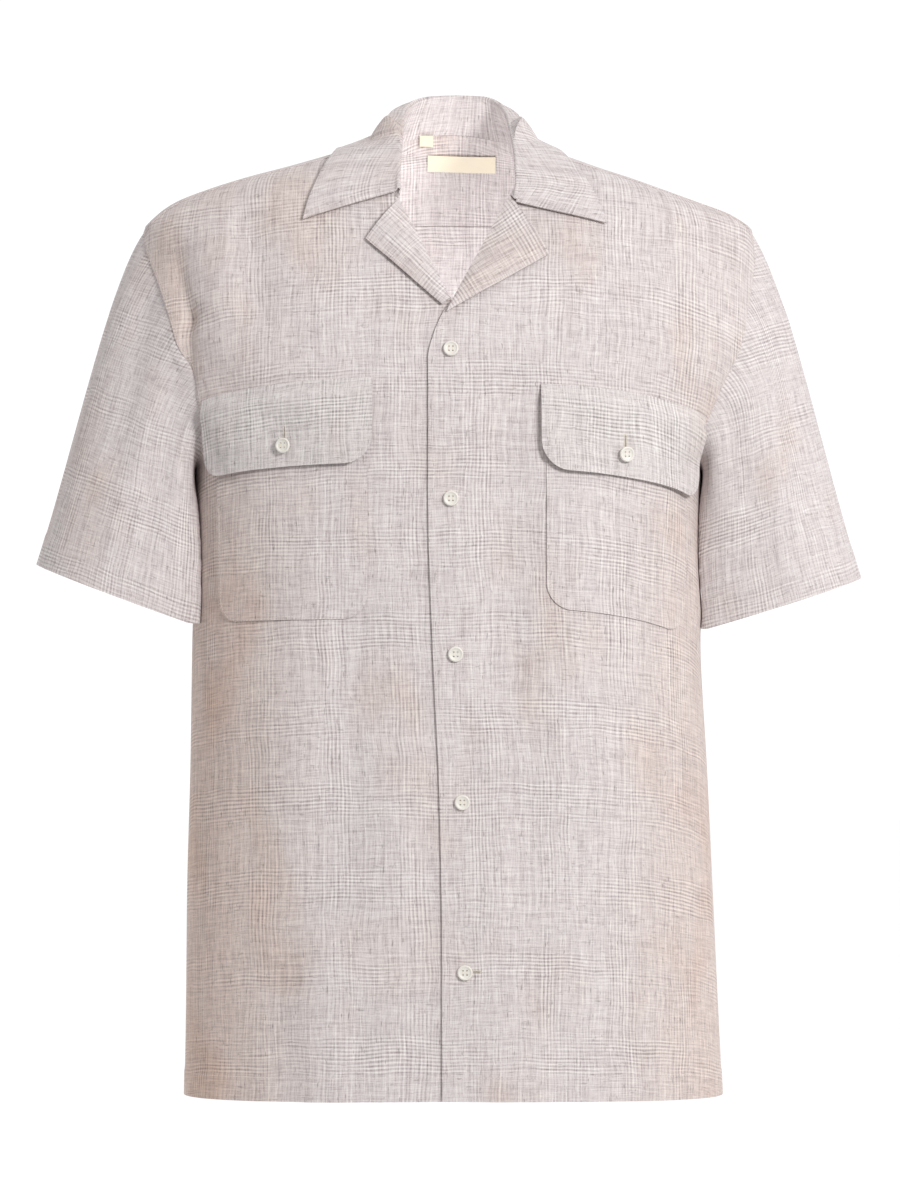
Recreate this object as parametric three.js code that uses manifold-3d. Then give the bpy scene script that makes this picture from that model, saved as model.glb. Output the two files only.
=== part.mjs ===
// A short-sleeved bowling shirt with a camp collar, filled out as if worn, and empty.
// Millimetres, +Z up. The front faces -Y and +X is the wearer's left.
// The origin is on the body's centre line, level with the highest points of the shoulder seams.
import * as THREE from "three";
import { mergeVertices } from "three/addons/utils/BufferGeometryUtils.js";
import Module from "manifold-3d";

const { Vector3 } = THREE;
const { lerp, smoothstep, degToRad } = THREE.MathUtils;
const wasm = await Module();
wasm.setup();

// Driving dimensions
const CLOTH = 1.2; // wall of one layer of the shirt
const SEAM_GAP = 0.3; // between pieces that are sewn together
const HEM_FRONT = -716;
const HEM_SIDE = -719;
const HEM_BACK = -717;
const ARMPIT = -240;
const SHOULDER_POINT = -57;
const LAYER_LIFT = 1.1; // each front moves this far apart where one laps over the other
const LAP = 17; // from the centre line to each front's edge
const BREAK_HEIGHT = -115; // where the fronts start to fold open
const SEAM_FORWARD = 18; // the shoulder seam lies this far in front of the shoulder's top

// A table whose columns are read at any height, without overshooting between its rows.
function smoothTable(names, rows) {
  const sorted = [...rows].sort((a, b) => a[0] - b[0]);
  const keys = sorted.map((row) => row[0]);
  const columns = {};
  names.slice(1).forEach((name, i) => {
    columns[name] = smoothColumn(keys, sorted.map((row) => row[i + 1]));
  });
  return columns;
}

function smoothColumn(keys, values) {
  const last = keys.length - 1;
  const slopes = keys.slice(1).map((key, i) => (values[i + 1] - values[i]) / (key - keys[i]));
  const tangents = keys.map((_, i) => {
    if (i === 0) return slopes[0];
    if (i === last) return slopes[last - 1];
    const product = slopes[i - 1] * slopes[i];
    return product <= 0 ? 0 : (2 * product) / (slopes[i - 1] + slopes[i]);
  });
  return (key) => {
    const at = Math.min(Math.max(key, keys[0]), keys[last]);
    let i = 0;
    while (i < last - 1 && keys[i + 1] < at) i += 1;
    const span = keys[i + 1] - keys[i];
    const share = (at - keys[i]) / span;
    return hermite(values[i], tangents[i] * span, values[i + 1], tangents[i + 1] * span, share);
  };
}

function hermite(from, leave, to, arrive, t) {
  const back = 1 - t;
  return (
    (1 + 2 * t) * back * back * from +
    t * back * back * leave +
    t * t * (3 - 2 * t) * to -
    t * t * back * arrive
  );
}

// The torso that the cloth stands on, as level slices: half widths to the wearer's right and left,
// depths to the front and back, and how square the slice is (2 is an ellipse).
const torso = smoothTable(
  ["z", "right", "left", "front", "back", "square"],
  [
    [30, 46, 53, 16, 72, 2.2],
    [24, 51, 58, 19, 76, 2.2],
    [18, 55, 62, 22, 79, 2.2],
    [9.5, 60, 68, 27, 83, 2.2],
    [4.5, 83, 80, 32, 86.5, 2.2],
    [-2.7, 108.6, 101, 38, 91, 2.2],
    [-7.4, 125.5, 114, 42, 93.5, 2.2],
    [-16.6, 160, 142, 50.5, 97.5, 2.2],
    [-26, 189, 168, 58, 101.5, 2.22],
    [-35, 211, 192.5, 65, 105, 2.25],
    [-45, 225, 218, 71, 108.5, 2.3],
    [SHOULDER_POINT, 235, 233, 76.5, 112, 2.35],
    [-80, 236.5, 236, 87, 117, 2.45],
    [-100, 236, 236, 95.5, 121, 2.5],
    [-140, 236, 236, 108, 126, 2.55],
    [-180, 222, 222, 114.5, 128, 2.6],
    [-215, 203, 203, 118, 128, 2.6],
    [ARMPIT, 194.5, 193, 119, 128, 2.6],
    [-300, 195, 192.5, 119.5, 127, 2.6],
    [-371, 197, 193, 118.5, 125, 2.6],
    [-467, 198.5, 198, 117, 122, 2.6],
    [-563, 201, 202.5, 115.5, 119, 2.6],
    [-660, 202, 207, 113.5, 116, 2.6],
    [-740, 203.5, 211, 112, 114, 2.6],
  ],
);

// The largest folds, as soft ridges (depth over 0) and troughs (under 0) along a line on the front
// or the back. Places are in the front view, width is the spread to each side.
const FOLDS = [
  // face, x, z, to x, to z, depth, width
  ["front", -150, -50, -143, -118, -3.2, 11],
  ["front", -178, -75, -168, -135, 2.6, 12],
  ["front", -190, -160, -128, -212, -2.6, 13],
  ["front", -207, -84, -198, -126, -3.4, 7],
  ["front", -198, -126, -197, -180, -3.4, 7],
  ["front", 45, -190, 44, -420, -3.0, 17],
  ["front", 82, -250, 88, -470, 2.2, 20],
  ["front", 148, -235, 188, -350, 2.8, 13],
  ["front", -70, -360, -78, -520, -2.4, 16],
  ["front", -112, -330, -118, -480, 2.2, 20],
  ["front", -38, -470, -45, -640, 1.8, 18],
  ["front", 112, -520, 122, -700, -2.0, 20],
  ["front", -95, -600, -88, -716, 2.4, 15],
  ["front", -128, -640, -122, -716, -2.0, 12],
  ["back", -70, -150, -95, -360, -3.2, 20],
  ["back", 60, -170, 86, -400, -3.0, 22],
  ["back", -15, -330, -8, -560, 2.6, 22],
  ["back", 130, -420, 120, -690, 2.6, 22],
  ["back", -125, -430, -132, -700, 2.4, 24],
  ["back", 168, -200, 120, -262, -3.0, 14],
  ["back", -168, -205, -118, -270, -3.0, 14],
].map(([face, x, z, toX, toZ, depth, width]) => ({
  from: onSlice(face, x, z),
  to: onSlice(face, toX, toZ),
  depth,
  width,
}));

function foldHeight(point) {
  let height = 0;
  for (const { from, to, depth, width } of FOLDS) {
    const line = to.clone().sub(from);
    const along = Math.min(Math.max(point.clone().sub(from).dot(line) / line.lengthSq(), 0), 1);
    const away = from.clone().addScaledVector(line, along).distanceTo(point) / width;
    height += depth * Math.exp((-away * away) / 2);
  }
  return height;
}

// 1 on the torso, less inside it and more outside.
function torsoValue({ x, y, z }) {
  const square = torso.square(z);
  const across = Math.abs(x) / (x < 0 ? torso.right(z) : torso.left(z));
  const through = Math.abs(y) / (y < 0 ? torso.front(z) : torso.back(z));
  return (across ** square + through ** square) ** (1 / square);
}

function torsoSlope(point) {
  const step = 0.02;
  const slope = ["x", "y", "z"].map((axis) => {
    const ahead = point.clone();
    const behind = point.clone();
    ahead[axis] += step;
    behind[axis] -= step;
    return (torsoValue(ahead) - torsoValue(behind)) / (2 * step);
  });
  return new Vector3(...slope);
}

function torsoNormal(point) {
  return torsoSlope(point).normalize();
}

// The torso's own point nearest to a rough one.
function pullToTorso(rough) {
  const point = rough.clone();
  for (let i = 0; i < 10; i += 1) {
    const slope = torsoSlope(point);
    point.addScaledVector(slope, (1 - torsoValue(point)) / slope.lengthSq());
  }
  return point;
}

// A place on the torso, given in the front view on its front or back face.
function onSlice(face, x, z) {
  const square = torso.square(z);
  const across = Math.min(Math.abs(x) / (x < 0 ? torso.right(z) : torso.left(z)), 1);
  const depth = face === "front" ? -torso.front(z) : torso.back(z);
  return new Vector3(x, depth * (1 - across ** square) ** (1 / square), z);
}

// A place on the torso, given by the angle from the front centre, to the right (-1) or left (+1) side.
function roundSlice(side, degrees, z) {
  const power = 2 / torso.square(z);
  const angle = degToRad(degrees);
  const across = side < 0 ? torso.right(z) : torso.left(z);
  const depth = degrees < 90 ? -torso.front(z) : torso.back(z);
  const sine = Math.max(Math.sin(angle), 0);
  return new Vector3(side * across * sine ** power, depth * Math.abs(Math.cos(angle)) ** power, z);
}

// The torso's height over a place in the plan, searched for between two levels.
const SEARCH_LEVELS = { low: -230, high: 30 };

function heightAt(x, y) {
  let { low, high } = SEARCH_LEVELS;
  for (let i = 0; i < 40; i += 1) {
    const middle = (low + high) / 2;
    if (torsoValue(new Vector3(x, y, middle)) > 1) high = middle;
    else low = middle;
  }
  return new Vector3(x, y, (low + high) / 2);
}

// A point of the torso moved out through the folds and a number of millimetres more.
function clothPoint(onTorso, out = 0) {
  const normal = torsoNormal(onTorso);
  return onTorso.clone().addScaledVector(normal, foldHeight(onTorso) + out);
}

// Walls: a grid of middle points becomes a closed sheet, thickened both ways along its normals.
function clothWall(rows, normals, thickness, round = false) {
  const positions = [];
  const faces = [];
  const down = rows.length;
  const across = rows[0].length;
  for (const way of [0.5, -0.5]) {
    rows.forEach((row, i) => {
      row.forEach((point, j) => {
        positions.push(...point.clone().addScaledVector(normals[i][j], way * thickness));
      });
    });
  }
  const vertex = (layer, i, j) => layer * down * across + i * across + (j % across);
  const quad = (a, b, c, d) => faces.push(a, b, c, a, c, d);
  const cells = round ? across : across - 1;
  for (let i = 0; i < down - 1; i += 1) {
    for (let j = 0; j < cells; j += 1) {
      quad(vertex(0, i, j), vertex(0, i, j + 1), vertex(0, i + 1, j + 1), vertex(0, i + 1, j));
      quad(vertex(1, i, j), vertex(1, i + 1, j), vertex(1, i + 1, j + 1), vertex(1, i, j + 1));
    }
  }
  for (let j = 0; j < cells; j += 1) {
    quad(vertex(0, 0, j + 1), vertex(0, 0, j), vertex(1, 0, j), vertex(1, 0, j + 1));
    const end = down - 1;
    quad(vertex(0, end, j), vertex(0, end, j + 1), vertex(1, end, j + 1), vertex(1, end, j));
  }
  for (let i = 0; i < down - 1 && !round; i += 1) {
    const end = across - 1;
    quad(vertex(0, i, 0), vertex(0, i + 1, 0), vertex(1, i + 1, 0), vertex(1, i, 0));
    quad(vertex(0, i + 1, end), vertex(0, i, end), vertex(1, i, end), vertex(1, i + 1, end));
  }
  return facingOut(new THREE.BufferGeometry(), positions, faces);
}

// Sets a closed geometry, turned so that its faces point outwards.
function facingOut(geometry, positions, faces) {
  let volume = 0;
  const corner = (i) => new Vector3().fromArray(positions, faces[i] * 3);
  for (let i = 0; i < faces.length; i += 3) {
    volume += corner(i).dot(corner(i + 1).cross(corner(i + 2)));
  }
  const turned = volume > 0 ? faces : [...faces].reverse();
  geometry.setAttribute("position", new THREE.Float32BufferAttribute(positions, 3));
  geometry.setIndex(turned);
  return geometry;
}

// A sheet whose normals come from the torso under it.
function torsoWall(rows, thickness = CLOTH) {
  const normals = rows.map((row) => row.map((point) => torsoNormal(point)));
  return clothWall(rows, normals, thickness);
}

// A sheet whose normals come from its own grid.
function freeWall(rows, thickness = CLOTH, round = false) {
  const last = rows[0].length - 1;
  const normals = rows.map((row, i) =>
    row.map((point, j) => {
      const before = round ? row[(j + last) % (last + 1)] : row[Math.max(j - 1, 0)];
      const after = round ? row[(j + 1) % (last + 1)] : row[Math.min(j + 1, last)];
      const above = rows[Math.max(i - 1, 0)][j];
      const below = rows[Math.min(i + 1, rows.length - 1)][j];
      return after.clone().sub(before).cross(below.clone().sub(above)).normalize();
    }),
  );
  return clothWall(rows, normals, thickness, round);
}

// A four-sided panel: straight from its centre edge to its side edge, plus the bulge of its bottom
// edge low down and of its top edge high up, laid on the torso.
function panelPoint({ centre, side, bottom, top }, across, up, topShare) {
  const point = centre(up).lerp(side(up), across);
  const bulge = (edge) => edge(across).sub(edge(0).lerp(edge(1), across));
  point.addScaledVector(bulge(bottom), 1 - topShare);
  point.addScaledVector(bulge(top), topShare);
  return pullToTorso(point);
}

// Runs 0 to 1 along an edge made of several stretches, given as [share of the edge, curve] pairs.
function chain(stretches) {
  return (t) => {
    let start = 0;
    for (const [end, curve] of stretches) {
      if (t <= end + 1e-9) return curve((t - start) / (end - start));
      start = end;
    }
    return stretches.at(-1)[1](1);
  };
}

// The neckline in plan, a squarish ring dropped on the torso. Degrees run from the back centre.
const NECK = { right: 59, left: 67, front: 81, back: 76, square: 2.2 };

function neckline(side, degrees) {
  const angle = degToRad(degrees);
  const power = 2 / NECK.square;
  const across = side < 0 ? NECK.right : NECK.left;
  const depth = degrees < 90 ? NECK.back : -NECK.front;
  return heightAt(side * across * Math.sin(angle) ** power, depth * Math.abs(Math.cos(angle)) ** power);
}

// Degrees round the neckline to the front end of the shoulder seam and to the gorge, where the
// collar ends on the lapel.
const seamCosine = (SEAM_FORWARD / NECK.front) ** (NECK.square / 2);
const NECK_SEAM_DEGREES = 180 - THREE.MathUtils.radToDeg(Math.acos(seamCosine));
const GORGE_DEGREES = { right: 141.5, left: 138 };
const gorgeDegrees = (side) => (side < 0 ? GORGE_DEGREES.right : GORGE_DEGREES.left);

// The centre line and the fronts' edges: the wearer's left laps over the right, and both edges
// run round into the lapel's roll at the break.
const centreLine = smoothTable(
  ["z", "x"],
  [
    [-115, 2.5],
    [-152, 1.5],
    [-264, 1.5],
    [-380, 5],
    [-491, 10],
    [-619, 12],
    [-740, 12],
  ],
);
const edgeShare = smoothTable(
  ["z", "share"],
  [
    [BREAK_HEIGHT, 0],
    [-121, 0.28],
    [-130, 0.55],
    [-141, 0.78],
    [-158, 1],
    [-740, 1],
  ],
);

function frontEdge(side, z) {
  return centreLine.x(z) - side * LAP * edgeShare.share(z);
}

// Armholes: a loop round each side. Degrees run from the shoulder point down the front to the armpit
// at 180 and up the back. The loop reaches this far round the torso from its side, in degrees.
const ARMHOLE = {
  right: { front: 32.5, frontLean: -9, back: 29, backLean: -4 },
  left: { front: 22.5, frontLean: -12, back: 29, backLean: -4 },
};
const SHOULDER_SEAM_END = { right: 23, left: 36 };
const YOKE_BACK_END = 40;

function armhole(side, degrees) {
  const size = side < 0 ? ARMHOLE.right : ARMHOLE.left;
  const angle = degToRad(degrees);
  const z = lerp(SHOULDER_POINT, ARMPIT, (1 - Math.cos(angle)) / 2);
  const inset =
    degrees <= 180
      ? (size.front + size.frontLean * Math.cos(angle)) * Math.sin(angle)
      : (size.back + size.backLean * Math.cos(angle)) * Math.sin(angle);
  return roundSlice(side, 90 - inset, z);
}

const seamEnd = (side) => armhole(side, side < 0 ? SHOULDER_SEAM_END.right : SHOULDER_SEAM_END.left);

// The seam between the fronts and the yoke, 0 at the neck and 1 at the armhole.
function shoulderSeam(side, t) {
  const start = neckline(side, NECK_SEAM_DEGREES);
  const end = seamEnd(side);
  return heightAt(lerp(start.x, end.x, t), lerp(start.y, end.y, t));
}

// The seam between the yoke and the back, 0 at the centre and 1 at the armhole.
const YOKE_DROP = -45;

function backYokeSeam(side, t) {
  const end = armhole(side, 360 - YOKE_BACK_END);
  return pullToTorso(onSlice("back", end.x * t, lerp(YOKE_DROP, end.z, t ** 2.5)).lerp(end, t ** 6));
}

// Fronts
const FRONT_CELLS = { across: 14, low: 14, high: 10 };
const UPPER_BREAK = 0.6; // share of the upper centre edge that lies below the break
const NECK_SHARE = 4 / FRONT_CELLS.across; // share of the front's top edge that lies on the neckline

function rollLine(side, t) {
  const start = onSlice("front", frontEdge(side, BREAK_HEIGHT), BREAK_HEIGHT);
  const end = neckline(side, gorgeDegrees(side));
  return onSlice("front", lerp(start.x, end.x, t), lerp(start.z, end.z, t));
}

// The side edge between two panels, moved to one side of the seam.
function sideEdge(side, z, way) {
  const point = roundSlice(side, 90, z);
  point.y += (way * SEAM_GAP) / 2;
  return point;
}

function frontEdges(side) {
  const edgeAt = (z) => onSlice("front", frontEdge(side, z), z);
  const seamDegrees = side < 0 ? SHOULDER_SEAM_END.right : SHOULDER_SEAM_END.left;
  const low = {
    centre: (t) => edgeAt(lerp(HEM_FRONT, ARMPIT, t)),
    side: (t) => sideEdge(side, lerp(HEM_SIDE, ARMPIT, t), -1),
  };
  const high = {
    centre: chain([
      [UPPER_BREAK, (t) => edgeAt(lerp(ARMPIT, BREAK_HEIGHT, t))],
      [1, (t) => rollLine(side, t)],
    ]),
    side: (t) => armhole(side, lerp(180, seamDegrees, t)),
  };
  const bottom = (t) => {
    const start = Math.sign(frontEdge(side, HEM_FRONT)) === side ? 0 : -4;
    return roundSlice(side, lerp(Math.max(start, 0), 90, t), lerp(HEM_FRONT, HEM_SIDE, t));
  };
  const top = chain([
    [NECK_SHARE, (t) => neckline(side, lerp(gorgeDegrees(side), NECK_SEAM_DEGREES, t))],
    [1, (t) => shoulderSeam(side, t)],
  ]);
  return { low, high, bottom, top };
}

// The two fronts part where one laps over the other: the left moves out and the right in.
function lapLift(side, x, z) {
  const fromCentre = side * (x - centreLine.x(z));
  const near = 1 - smoothstep(fromCentre, LAP + 8, LAP + 30);
  const below = 1 - smoothstep(z, BREAK_HEIGHT + 5, BREAK_HEIGHT + 45);
  return side * LAYER_LIFT * near * below;
}

// A point of a front's middle surface, given in the front view.
function frontPoint(side, x, z, out = 0) {
  return clothPoint(onSlice("front", x, z), lapLift(side, x, z) + out);
}

function frontPanel(side) {
  const { low, high, bottom, top } = frontEdges(side);
  const { across, low: lowRows, high: highRows } = FRONT_CELLS;
  const rows = [];
  for (let i = 0; i <= lowRows + highRows; i += 1) {
    const isLow = i <= lowRows;
    const up = isLow ? i / lowRows : (i - lowRows) / highRows;
    const edges = { ...(isLow ? low : high), bottom, top };
    const topShare = isLow ? 0 : up ** 1.3;
    const row = [];
    for (let j = 0; j <= across; j += 1) {
      const point = panelPoint(edges, j / across, up, topShare);
      row.push(clothPoint(point, lapLift(side, point.x, point.z)));
    }
    rows.push(row);
  }
  return torsoWall(rows);
}

// Back
const BACK_CELLS = { across: 20, low: 12, high: 9 };

function backPanel() {
  const bottom = (t) => {
    const turn = lerp(-90, 90, t);
    const z = lerp(HEM_BACK, HEM_SIDE, (turn / 90) ** 2);
    return roundSlice(Math.sign(turn) || 1, 180 - Math.abs(turn), z);
  };
  const top = (t) => backYokeSeam(t < 0.5 ? -1 : 1, Math.abs(2 * t - 1));
  const sides = { centre: -1, side: 1 };
  const rows = [];
  for (let i = 0; i <= BACK_CELLS.low + BACK_CELLS.high; i += 1) {
    const isLow = i <= BACK_CELLS.low;
    const up = isLow ? i / BACK_CELLS.low : (i - BACK_CELLS.low) / BACK_CELLS.high;
    const edges = { bottom, top };
    for (const [name, side] of Object.entries(sides)) {
      edges[name] = (t) =>
        isLow
          ? sideEdge(side, lerp(HEM_SIDE, ARMPIT, t), 1)
          : armhole(side, lerp(180, 360 - YOKE_BACK_END, t));
    }
    const row = [];
    for (let j = 0; j <= BACK_CELLS.across; j += 1) {
      row.push(clothPoint(panelPoint(edges, j / BACK_CELLS.across, up, isLow ? 0 : up)));
    }
    rows.push(row);
  }
  return torsoWall(rows);
}

// Yoke: columns run from the neckline and the shoulder seams back to the yoke seam.
const YOKE_CELLS = { half: 12, neck: 5, deep: 8 };
const YOKE_INSET = SEAM_GAP + 0.4; // the flat facets on the two sides of a seam bend at different places

// The line in plan from a front seam point to a back seam point, dropped on the torso.
function yokeChord(start, end, share) {
  return heightAt(lerp(start.x, end.x, share), lerp(start.y, end.y, share));
}

function yokePanel() {
  const columns = [];
  for (let i = -YOKE_CELLS.half; i <= YOKE_CELLS.half; i += 1) {
    const side = Math.sign(i) || 1;
    const count = Math.abs(i);
    const neck = YOKE_CELLS.neck;
    const alongShoulder = Math.max(count - neck, 0) / (YOKE_CELLS.half - neck);
    const start =
      count <= neck ? neckline(side, (NECK_SEAM_DEGREES * count) / neck) : shoulderSeam(side, alongShoulder);
    const end = backYokeSeam(side, count / YOKE_CELLS.half);
    const length = start.distanceTo(end);
    const seamDegrees = side < 0 ? SHOULDER_SEAM_END.right : SHOULDER_SEAM_END.left;
    const outerEnds = [seamEnd(side), backYokeSeam(side, 1)];
    const column = [];
    for (let j = 0; j <= YOKE_CELLS.deep; j += 1) {
      const share = lerp(YOKE_INSET / length, 1 - YOKE_INSET / length, j / YOKE_CELLS.deep);
      const onArmhole = armhole(side, (lerp(seamDegrees, -YOKE_BACK_END, share) + 360) % 360);
      const bulge = onArmhole.sub(yokeChord(...outerEnds, share));
      const point = yokeChord(start, end, share).addScaledVector(bulge, alongShoulder ** 3);
      column.push(clothPoint(pullToTorso(point)));
    }
    columns.push(column);
  }
  return torsoWall(columns);
}

// Sleeves: from the armhole to the hem ring. The ring is a circle on its outer half, and its inner
// half would reach into the body, so the cloth is pushed out and lies flat against the side. The table
// says which way the cloth leaves the armhole (out from the body, forward, up) and how far it keeps
// that way.
const SLEEVE = { radius: 61, innerHalf: 100, centreX: 259, contactX: 197, contact: 2.4, headClear: 0.7 };
const SLEEVE_HEM = {
  right: { centreY: -10, centreZ: -334, tilt: 20.5, bow: 1 },
  left: { centreY: 8, centreZ: -341, tilt: 17.5, bow: 2 },
};
const SLEEVE_CELLS = { around: 24, down: 9 };
const SLEEVE_START = {
  right: {
    top: [0.6, 0, -0.8, 130],
    front: [0.72, -0.3, -0.6, 120],
    under: [1, 0, 0.1, 38],
    back: [0.75, -0.35, -0.55, 120],
  },
  left: {
    top: [0.6, 0, -0.8, 130],
    front: [0.8, -0.15, -0.6, 120],
    under: [1, 0, 0.1, 38],
    back: [0.75, -0.35, -0.55, 120],
  },
};

// How much of each quarter's value holds at an angle round the armhole.
function quarterShares(degrees) {
  const cosine = Math.cos(degToRad(degrees));
  const sine = Math.sin(degToRad(degrees));
  return {
    top: Math.max(cosine, 0) ** 2,
    front: Math.max(sine, 0) ** 2,
    under: Math.max(-cosine, 0) ** 2,
    back: Math.max(-sine, 0) ** 2,
  };
}

function sleeveStart(side, degrees) {
  const at = armhole(side, degrees);
  const seam = clothPoint(at);
  const normal = torsoNormal(at);
  const along = armhole(side, degrees + 1).sub(armhole(side, degrees - 1)).normalize();
  const across = normal.clone().cross(along).normalize();
  const middle = new Vector3(at.x, 0, (SHOULDER_POINT + ARMPIT) / 2);
  if (middle.sub(at).dot(across) < 0) across.negate();
  const quarters = side < 0 ? SLEEVE_START.right : SLEEVE_START.left;
  const way = new Vector3();
  let reach = 0;
  for (const [name, share] of Object.entries(quarterShares(degrees))) {
    const [out, forward, up, length] = quarters[name];
    way.add(new Vector3(side * out, -forward, up).normalize().multiplyScalar(share));
    reach += length * share;
  }
  way.normalize();
  const clear = SEAM_GAP + (CLOTH / 2) * Math.abs(way.dot(normal)) + SLEEVE.headClear;
  return { point: seam.addScaledVector(across, clear), leave: way.multiplyScalar(reach) };
}

function sleeveHem(side, degrees) {
  const hem = side < 0 ? SLEEVE_HEM.right : SLEEVE_HEM.left;
  const angle = degToRad(degrees);
  const tilt = degToRad(hem.tilt);
  const half = Math.cos(angle) > 0 ? SLEEVE.radius : SLEEVE.innerHalf;
  const out = half * Math.cos(angle) * Math.cos(tilt);
  const forward = SLEEVE.radius * Math.sin(angle);
  const outOnPlane = Math.max(out, SLEEVE.contactX - SLEEVE.centreX);
  return new Vector3(
    side * (SLEEVE.centreX + out),
    hem.centreY - forward,
    hem.centreZ + outOnPlane * Math.tan(tilt) - (hem.bow * Math.abs(forward)) / SLEEVE.radius,
  );
}

function sleevePoint(side, degrees, down) {
  const { point, leave } = sleeveStart(side, degrees);
  const hem = sleeveHem(side, degrees);
  const chord = hem.clone().sub(point);
  const free = new Vector3(
    hermite(point.x, leave.x, hem.x, chord.x, down),
    hermite(point.y, leave.y, hem.y, chord.y, down),
    hermite(point.z, leave.z, hem.z, chord.z, down),
  );
  const inner = smoothstep(-Math.cos(degToRad(degrees)), -0.3, 0.2);
  const clear = SLEEVE.contact * inner * smoothstep(down, 0, 1 / SLEEVE_CELLS.down);
  return clear > 0 ? clearOfTorso(free, clear) : free;
}

function sleeve(side) {
  const rows = [];
  for (let i = 0; i <= SLEEVE_CELLS.down; i += 1) {
    const row = [];
    for (let j = 0; j < SLEEVE_CELLS.around; j += 1) {
      row.push(sleevePoint(side, (360 * j) / SLEEVE_CELLS.around, i / SLEEVE_CELLS.down));
    }
    rows.push(row);
  }
  return freeWall(rows, CLOTH, true);
}

// Collar: the stand rises from the neckline to the fold, and the fall comes down over it to the
// collar's edge, which lies on the yoke and the fronts. Shares run from the back centre to the front.
const COLLAR = { wall: 1.4, foldRadius: 1.7, clear: 3.4, seam: 1.5 };
// The fold's front end runs down this far, and out and forward by shares of that.
const COLLAR_FRONT_DROP = { right: 0, left: 9, from: 0.86, out: 0.33, forward: 0.5 };
const FALL = { leaveShare: 0.5, arriveShare: 0.35, arriveLift: 3 }; // how the fall curves
const COLLAR_CELLS = { half: 14, stand: 2, fold: 3, fall: 5 };
const collarLine = smoothTable(
  ["share", "foldRight", "foldLeft", "foldY", "foldZ", "edgeRight", "edgeLeft", "edgeY"],
  [
    [0, -6, 6, 70, 54.6, -5, 5, 93],
    [0.15, 15, 27, 67.5, 53.5, 26, 32, 91],
    [0.3, 29, 38, 57, 48.5, 53, 56, 82],
    [0.45, 34.5, 43.5, 34, 39.5, 74, 73, 56],
    [0.6, 35.3, 46, 6, 27, 82.5, 79, 22],
    [0.75, 36, 48.5, -22, 11, 85, 84, -9],
    [0.88, 37.2, 50.3, -45, -9, 96, 101, -39],
    [1, 38, 48.5, -67, -27.5, 110, 119, -69],
  ],
);

function collarSection(side, share) {
  const column = side < 0 ? "Right" : "Left";
  const drop = side < 0 ? COLLAR_FRONT_DROP.right : COLLAR_FRONT_DROP.left;
  const at = (t) => {
    const down = drop * smoothstep(t, COLLAR_FRONT_DROP.from, 1);
    const across = side * (collarLine[`fold${column}`](t) + down * COLLAR_FRONT_DROP.out);
    const depth = collarLine.foldY(t) - down * COLLAR_FRONT_DROP.forward;
    return new Vector3(across, depth, collarLine.foldZ(t) - down);
  };
  const seam = clothPoint(neckline(side, gorgeDegrees(side) * share));
  const fold = at(share);
  const step = 0.01;
  const along = at(Math.min(share + step, 1)).sub(at(Math.max(share - step, 0))).normalize();
  const edgeOnTorso = heightAt(side * collarLine[`edge${column}`](share), collarLine.edgeY(share));
  const edge = clothPoint(edgeOnTorso, COLLAR.clear);
  const rise = fold.clone().sub(seam);
  const height = rise.length();
  const up = rise.addScaledVector(along, -rise.dot(along)).normalize();
  const out = along.clone().cross(up).normalize();
  if (edge.clone().sub(fold).dot(out) < 0) out.negate();
  const radius = COLLAR.foldRadius;
  const heart = fold.clone().addScaledVector(up, -radius);
  const onFold = (degrees) =>
    heart
      .clone()
      .addScaledVector(out, -radius * Math.cos(degToRad(degrees)))
      .addScaledVector(up, radius * Math.sin(degToRad(degrees)));
  const foot = seam.clone().addScaledVector(up, COLLAR.seam);
  const points = [];
  for (let i = 0; i < COLLAR_CELLS.stand; i += 1) {
    points.push(foot.clone().lerp(onFold(0), i / COLLAR_CELLS.stand));
  }
  for (let i = 0; i < COLLAR_CELLS.fold; i += 1) points.push(onFold((180 * i) / COLLAR_CELLS.fold));
  const leave = onFold(180);
  const arrive = edge.clone().lerp(leave, FALL.arriveShare);
  arrive.addScaledVector(torsoNormal(edgeOnTorso), FALL.arriveLift);
  const fall = new THREE.CubicBezierCurve3(
    leave,
    leave.clone().addScaledVector(up, -FALL.leaveShare * height),
    arrive,
    edge,
  );
  for (let i = 0; i <= COLLAR_CELLS.fall; i += 1) {
    points.push(clearOfTorso(fall.getPoint(i / COLLAR_CELLS.fall), COLLAR.clear));
  }
  return points;
}

// Moves a point out until it stands clear of the cloth on the torso.
function clearOfTorso(point, clear) {
  const onTorso = pullToTorso(point);
  const normal = torsoNormal(onTorso);
  const away = point.clone().sub(onTorso).dot(normal) - foldHeight(onTorso);
  return away < clear ? point.clone().addScaledVector(normal, clear - away) : point;
}

function collar() {
  const rows = [];
  for (let i = -COLLAR_CELLS.half; i <= COLLAR_CELLS.half; i += 1) {
    rows.push(collarSection(Math.sign(i) || 1, Math.abs(i) / COLLAR_CELLS.half));
  }
  return freeWall(rows, COLLAR.wall);
}

// Lapels: the front facings, folded open over the fronts between the roll and their own edge.
// Each row of the table is a corner in the front view.
const LAPEL = {
  right: { tip: [-62.7, -68], foot: [-5, -118.5], rollEnd: 0.03 },
  left: { tip: [75.8, -80], foot: [-1.5, -124.5], rollEnd: -0.02 },
};
const LAPEL_CELLS = { along: 8, out: 4 };
const LAPEL_LIFT = { roll: 1.8, puff: 3.5, edge: 2.6 };
const ROLL_TOP = 0.975; // where on the roll line the lapel starts, just short of the gorge

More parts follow.
